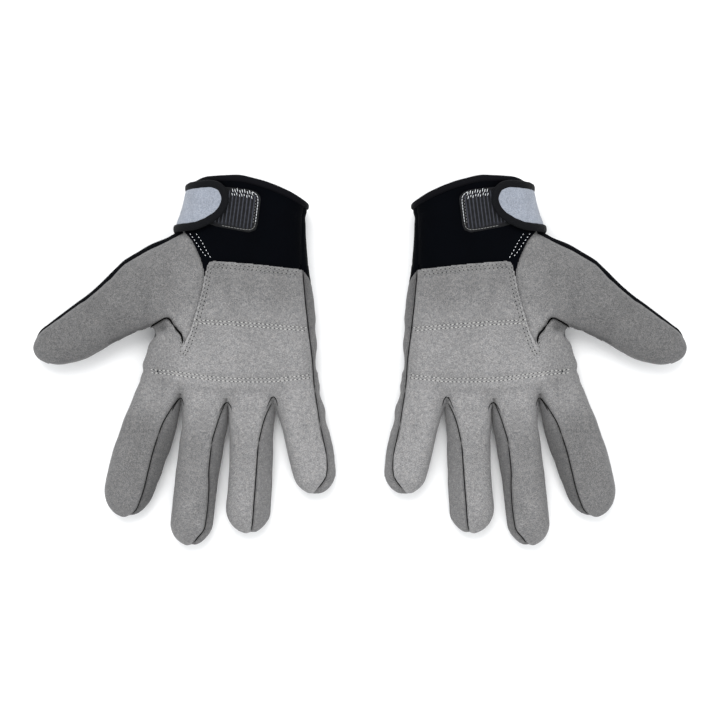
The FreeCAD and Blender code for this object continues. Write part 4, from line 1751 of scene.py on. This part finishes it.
def slab(A, Y, top, bottom):
    """A closed thin piece over the cuff from a grid of (arc, y)."""
    vt, _ = wrap(A, Y, top)
    vb, _ = wrap(A, Y, bottom)
    ny, na = A.shape
    v = np.concatenate([vt.reshape(-1, 3), vb.reshape(-1, 3)])
    idx = np.arange(ny * na).reshape(ny, na)
    q = np.stack([idx[:-1, :-1], idx[:-1, 1:], idx[1:, 1:], idx[1:, :-1]],
                 -1).reshape(-1, 4)
    fn = face_normals(v, q)
    if fn[:, 2].sum() < 0:
        q = q[:, ::-1]
    n = ny * na
    be = boundary_edges(q)
    rim = np.stack([be[:, 1], be[:, 0], be[:, 0] + n, be[:, 1] + n], 1)
    return v, np.concatenate([q, q[:, ::-1] + n, rim]), len(q)


def to_arc(poly):
    return [(arc_of(x, y), y) for x, y in poly]


# ---- strap outline, in (arc, y)
_top = [(99.3, 104.3), (93.0, 104.7), (87.6, 104.9), (84.0, 104.3),
        (80.9, 102.9), (78.6, 100.9), (77.0, 98.2), (76.1, 95.0),
        (76.1, 92.4), (76.8, 89.8), (78.4, 86.6), (80.9, 83.4),
        (85.6, 80.1), (91.5, 77.4), (97.3, 75.6)]
_arc = to_arc(_top)
_r1, _r2 = strip_at(103.6)[3], strip_at(75.4)[3]
STRAP = [(_r1, 103.6), (_r1 - 9.0, 103.8)] + _arc + [(_r2 - 9.0, 75.3),
                                                    (_r2, 75.2)]
STRAP_LINE = resample(chaikin(STRAP, 2), 0.9)
# ring through the middle of the edge binding, and the suede's own outline
_mid = offset_line(STRAP_LINE, 2.3)
_in = offset_line(STRAP_LINE, 3.5)
if edge_dist(STRAP, _mid[20:21, 0], _mid[20:21, 1])[0] < 0.5:
    _mid = offset_line(STRAP_LINE, -2.3)
_cen = np.array([(_arc[4][0] + _r1) / 2 - 4, 92.0])
if np.linalg.norm(_mid[len(_mid) // 2] - _cen) > np.linalg.norm(
        STRAP_LINE[len(STRAP_LINE) // 2] - _cen):
    _mid = offset_line(STRAP_LINE, -2.3)
    _in = offset_line(STRAP_LINE, -3.5)


def clear(line, least):
    """Drops the points of an offset line that crowd in tight turns."""
    d = np.array([np.min(np.hypot(*(STRAP_LINE - p).T)) for p in line])
    return line[d > least]


_mid = resample(clear(_mid, 2.2), 0.9)
_in = resample(clear(_in, 3.38), 0.9)
_root_fix = [_r1, _r2]


def strap_pieces(side):
    made = []
    # suede tab: padded a little, edges tucked in the binding
    poly = np.concatenate([_in])
    A, Y = poly_rows(poly, 44, 46)
    d = edge_dist(poly, A, Y)
    free = np.minimum(d, np.abs(A - A.max()) * 0 + d)
    puff = 0.55 * (1 - np.exp(-free / 1.8))
    wav = 0.10 * noise(A, Y, A * 0, 5.0) + 0.05 * noise(A, Y, A * 0, 2.0)
    v, q, nt = slab(A, Y, LIFT + ST - 0.15 + puff + wav, LIFT + 0.1 + 0 * A)
    o = put("wrist_strap", side, v, q, [M_STRAP],
            attrs={"tone": np.ones(len(v))})
    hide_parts(side + "_wrist_strap")
    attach(o, side + "_strap_body")
    # binding bead round the edge
    pp, nn = wrap(_mid[:, 0], _mid[:, 1], LIFT + ST / 2 + 0.05)
    soft = 1 + 0.03 * np.sin(np.arange(len(pp)) * 0.9)
    v, rows, al, ac = tube(pp, nn, 2.35 * soft, 1.5, 18)
    o = put("strap_binding", side, v, rows, [M_BIND],
            attrs={"along": al, "across": ac})
    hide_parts(side + "_strap_binding")
    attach(o, side + "_strap_body")
    # hook patch below
    hp = to_arc([(95.0, 100.2), (86.5, 100.4), (83.6, 98.0), (82.2, 93.4),
                 (84.8, 88.4), (89.6, 85.0), (95.0, 83.0)])
    A, Y = poly_rows(hp, 18, 16, ease=False)
    v, q, nt = slab(A, Y, LIFT + 0.2 + 0 * A, LIFT - 0.65 + 0 * A)
    sp = Soup()
    sp.add(v, q, [])
    rows = [np.concatenate(sp.q)]
    o = put("strap_hook_patch", side, v, rows, [M_HOOK])
    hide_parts(side + "_strap_hook_patch")
    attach(o, side + "_strap_body")
    # tiny hooks of the hook patch
    hs = Soup()
    for y in np.arange(83.6, 100.2, 1.1):
        for a in np.arange(A.min() + 0.6, A.max() - 0.4, 1.1):
            if edge_dist(hp, np.array([a]), np.array([y]))[0] < 0.5 or \
                    not inside(hp, a, y):
                continue
            p, n = wrap(np.array([a]), np.array([y]), LIFT - 0.65)
            hs.stitch(p[0], np.array([0, 1.0, 0]), -n[0], 0.75, 0.13,
                      arch=0.45, sink=0.05)
    o = hs.build("strap_hooks", side, M_HOOK)
    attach(o, side + "_strap_body")


def inside(poly, a, y):
    c = False
    for k in range(len(poly)):
        (x0, y0), (x1, y1) = poly[k], poly[(k + 1) % len(poly)]
        if (y0 > y) != (y1 > y) and a < (x1 - x0) * (y - y0) / (y1 - y0) + x0:
            c = not c
    return c


LOOPP = [(92.0, 101.2), (76.0, 100.6), (63.8, 99.2), (60.2, 97.8),
         (58.1, 95.6), (57.6, 93.4), (59.6, 78.6), (60.8, 75.8),
         (64.8, 74.4), (83.6, 77.8), (92.0, 80.4)]


def patch_piece(side):
    poly = to_arc(LOOPP)
    A, Y = poly_rows(poly, 64,
                     150, ease=False)
    d = edge_dist(poly, A, Y)
    # ribs run almost along the hand, leaning a little
    rib = A + 0.16 * (Y - 90.0)
    h = 0.5 + 0.5 * np.cos(rib / 2.2 * 2 * math.pi)
    edge = sstep(0.0, 1.6, d - 1.2)
    h = 0.55 * h ** 4.0 * edge + 0.06 * noise(A, Y, A * 0, 1.2)
    base = 1.0 * np.minimum(1.0, (d + 0.25) / 0.9)
    v, q, nt = slab(A, Y, 0.25 + base + h, -0.4 + 0 * A)
    # painted highlight on the rib tops and painted shade in the grooves: the tone follows the rib
    # height
    tone = np.tile((0.3 + 8.5 * np.clip(h.ravel(), 0, 1)), 2)
    o = put("loop_patch", side, v, q, [M_LOOP],
            attrs={"along": np.tile(Y.ravel(), 2) * 0.001,
                   "across": np.tile(A.ravel(), 2) * 0.001, "tone": tone})
    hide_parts(side + "_loop_patch")
    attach(o, side + "_hand_body")


def patch_threads(side):
    s, s2 = Soup(), Soup()
    poly = to_arc(LOOPP)

    def at(x, y, up=1.75):
        p, n = wrap(np.array([arc_of(x, y)]), np.array([y]), up)
        return p[0], n[0]
    # upright bar stitches along the top, uneven as sewn by hand
    for i, x in enumerate(np.arange(62.6, 75.6, 1.45)):
        yt = np.interp(x, [60, 65.0, 76.0], [96.4, 98.2, 99.6])
        j = 0.45 * math.sin(i * 2.3)
        for k, (dy, ln) in enumerate(((0.0, 1.9), (-2.3, 1.7 - 0.5 * (i % 2)))):
            p, n = at(x + 0.35 * k + 0.15 * j, yt - 0.5 + dy + j, 1.62)
            s.stitch(p, np.array([0.2, 1.0, 0.05]), n, ln, 0.17, 0.2, 0.05)
    # edge stitches down the free side and along the bottom
    edge = resample(chaikin([(63.6, 98.2), (60.6, 96.8), (59.0, 94.2),
                             (60.0, 86.0), (61.0, 78.6), (62.2, 76.5),
                             (65.2, 75.7), (74.0, 77.1), (82.0, 78.6)], 2),
                    1.75)
    for i in range(1, len(edge) - 1):
        t = edge[i + 1] - edge[i - 1]
        p, n = at(edge[i][0], edge[i][1], 1.28)
        soup = s if edge[i][1] > 80.5 else s2
        soup.stitch(p, np.array([t[0], t[1], 0]), n, 1.5, 0.15, 0.16, 0.06)
        if edge[i][1] > 80.5 and edge[i][0] < 63:
            p, n = at(edge[i][0] + 1.5, edge[i][1] - 0.8, 1.5)
            s2.stitch(p, np.array([t[0], t[1], 0]), n, 0.8, 0.15, 0.16, 0.06)
    o = s2.build("loop_patch_thread_grey", side, M_GREY_THREAD)
    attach(o, side + "_hand_body")
    o = s.build("loop_patch_thread", side, M_THREAD2)
    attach(o, side + "_hand_body")


def cuff_ring(off, dy, n=150):
    """Closed path round the opening."""
    th = np.linspace(0, 2 * math.pi, n, endpoint=False) + 0.01
    out, nn = [], []
    for t in th:
        y = 104.0
        for _ in range(6):
            p, nr = cuff_section(y, np.array([t]))
            y = float(F_TOP(np.array([p[0, 0]]))[0])
        out.append((p[0, 0] + nr[0, 0] * off, y + dy, p[0, 1] + nr[0, 1] * off))
        nn.append((nr[0, 0], 0, nr[0, 1]))
    out, nn = np.array(out), np.array(nn)
    # even spacing
    seg_ = np.r_[0, np.cumsum(np.linalg.norm(
        np.diff(np.vstack([out, out[:1]]), axis=0), axis=1))]
    q = np.linspace(0, seg_[-1], n, endpoint=False)
    ext, en = np.vstack([out, out[:1]]), np.vstack([nn, nn[:1]])
    return (np.stack([np.interp(q, seg_, ext[:, k]) for k in range(3)], 1),
            np.stack([np.interp(q, seg_, en[:, k]) for k in range(3)], 1))


def binding_piece(side):
    p, n = cuff_ring(-0.55, -0.15, 260)
    x, y, z = p.T
    w = 2.05 + 0.10 * noise(x, y, z, 7.0)
    v, rows, al, ac = tube(p, n, w, 1.75 + 0.08 * noise(x, y, z, 5.0), 18,
                           closed=True, square=2.3)
    v[:, 2] = np.maximum(v[:, 2], 0.02)
    o = put("cuff_binding", side, v, rows, [M_EDGE],
            attrs={"along": al, "across": ac})
    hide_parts(side + "_cuff_binding")
    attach(o, side + "_hand_body")


# ---- rows of stitches
def px(points):
    """Outline points given in the plan of one glove, mm."""
    return [((360 - a) * 0.6, (359.8 - b) * 0.6) for a, b in points]


T_PALM = offset_line(L_PALM, -1.9)
T_MAIN = np.asarray(resample(chaikin(true_size(
    [(91.0, 57.0), (91.6, 52.6), (92.6, 46.5), (94.0, 40.5), (95.6, 34.6),
     (97.8, 27.0), (100.6, 18.0), (104.2, 8.6), (107.4, 3.2)], 36.0),
    2), 1.0))


def stitch_pieces(side):
    pale, grey, white, hole = Soup(), Soup(), Soup(), Soup()
    top = resample(smooth_line(true_size(
        [(36.4, 54.7), (60.0, 57.2), (88.4, 59.3)], 38.0), 3.0, 1), 1.0)
    for k in (1, 2):
        row(offset_line(top, -(1.6 + 1.8 * (k - 1))), 2.5, grey, hole,
            length=1.6, r=0.24, start=0.6 * k)
    # two rows beside the thumb's seam, on the palm
    for k in (1, 2):
        row(offset_line(T_MAIN, -(0.2 + 1.75 * (k - 1))), 2.4, grey, hole,
            length=1.3, r=0.22, hole_r=0.54, start=0.5 * k)
    # short arm of the notch
    arm = resample(true_size([(108.0, 3.4), (107.9, 9.0), (107.5, 14.6)],
                             33.0), 1.0)
    row(arm, 2.5, grey, hole, length=1.4, r=0.22, start=0.6)
    # across the palm
    for dist in (0.95, -0.95):
        row(offset_line(L_MID, dist), 2.5, pale, hole, length=1.25,
            start=0.8 + 0.6 * (dist > 0))
        row(offset_line(L_LOW, dist), 2.5, pale, hole, length=1.25,
            start=0.8 + 0.6 * (dist > 0))
    # white double row on the black cuff
    for ln in ([(102.4, 76.2), (97.5, 69.3), (94.4, 64.4), (90.8, 60.6)],
               [(98.4, 76.0), (94.8, 70.7), (92.4, 65.9), (89.8, 61.6)]):
        row(resample(chaikin(true_size(ln, 39.0), 2), 1.0), 2.2, white,
            None, length=1.0, r=0.17, start=0.5)
    # the needle holes take the dark material: painted shade in each hole
    for soup, nm, mt, sl_ in ((pale, "palm_row_thread", M_THREAD,
                               "grey_suede"),
                              (grey, "seam_row_thread", M_GREY_THREAD,
                               "grey_suede"),
                              (white, "cuff_row_thread", M_THREAD2,
                               "neoprene"),
                              (hole, "needle_holes", M_PAINTED_SHADE, "grey_suede")):
        if soup.n:
            o = soup.build(nm, side, mt)
            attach(o, side + "_hand_body")


for side in SIDES:
    strap_pieces(side)
    patch_piece(side)
    patch_threads(side)
    binding_piece(side)
    stitch_pieces(side)

# =====================================================================
# floor, light and camera
# =====================================================================
n_ = 24
xs = np.linspace(-1500, 1500, n_)
gxx, gyy = np.meshgrid(xs, xs, indexing="ij")
fv = np.stack([gxx.ravel(), gyy.ravel(), np.full(gxx.size, -0.35)], 1)
ii = np.arange(n_ * n_).reshape(n_, n_)
fq = np.stack([ii[:-1, :-1], ii[1:, :-1], ii[1:, 1:], ii[:-1, 1:]],
              -1).reshape(-1, 4)
fm_ = bpy.data.materials.new("floor_paper")
fm_.use_nodes = True
fb = fm_.node_tree.nodes["Principled BSDF"]
fb.inputs["Base Color"].default_value = (0.93, 0.93, 0.93, 1)
fb.inputs["Roughness"].default_value = 0.9
fb.inputs["Specular IOR Level"].default_value = 0.1
floor = mesh_object("studio_floor", fv, fq, fm_)

bpy.context.scene.view_settings.view_transform = "Standard"
world = bpy.data.worlds.new("studio_world")
bpy.context.scene.world = world
world.use_nodes = True
bg = world.node_tree.nodes["Background"]
bg.inputs["Color"].default_value = (0.97, 0.985, 1.0, 1)
bg.inputs["Strength"].default_value = 1.02


def area(name, loc, target, size, power, colour=(1, 1, 1)):
    d = bpy.data.lights.new(name, "AREA")
    d.shape = "DISK"
    d.size = size
    d.energy = power
    d.color = colour
    o = bpy.data.objects.new(name, d)
    bpy.context.scene.collection.objects.link(o)
    o.location = loc
    v = Vector(target) - Vector(loc)
    o.rotation_euler = v.to_track_quat("-Z", "Y").to_euler()
    return o


area("key_light", (-0.15, 0.75, 1.35), (0, 0, 0), 0.9, 15.0)
area("fill_light", (0.25, -0.7, 1.5), (0, 0, 0), 1.2, 7.0)

cam_d = bpy.data.cameras.new("camera")
cam_d.sensor_width = 36.0
cam_d.lens = 85.0
cam = bpy.data.objects.new("camera", cam_d)
bpy.context.scene.collection.objects.link(cam)
CAM_D = 0.432 * 85.0 / 36.0
cam.location = (0.0, 0.0, 0.012 + CAM_D)
cam.rotation_euler = (0.0, 0.0, 0.0)
cam_d.clip_end = 20.0
bpy.context.scene.camera = cam
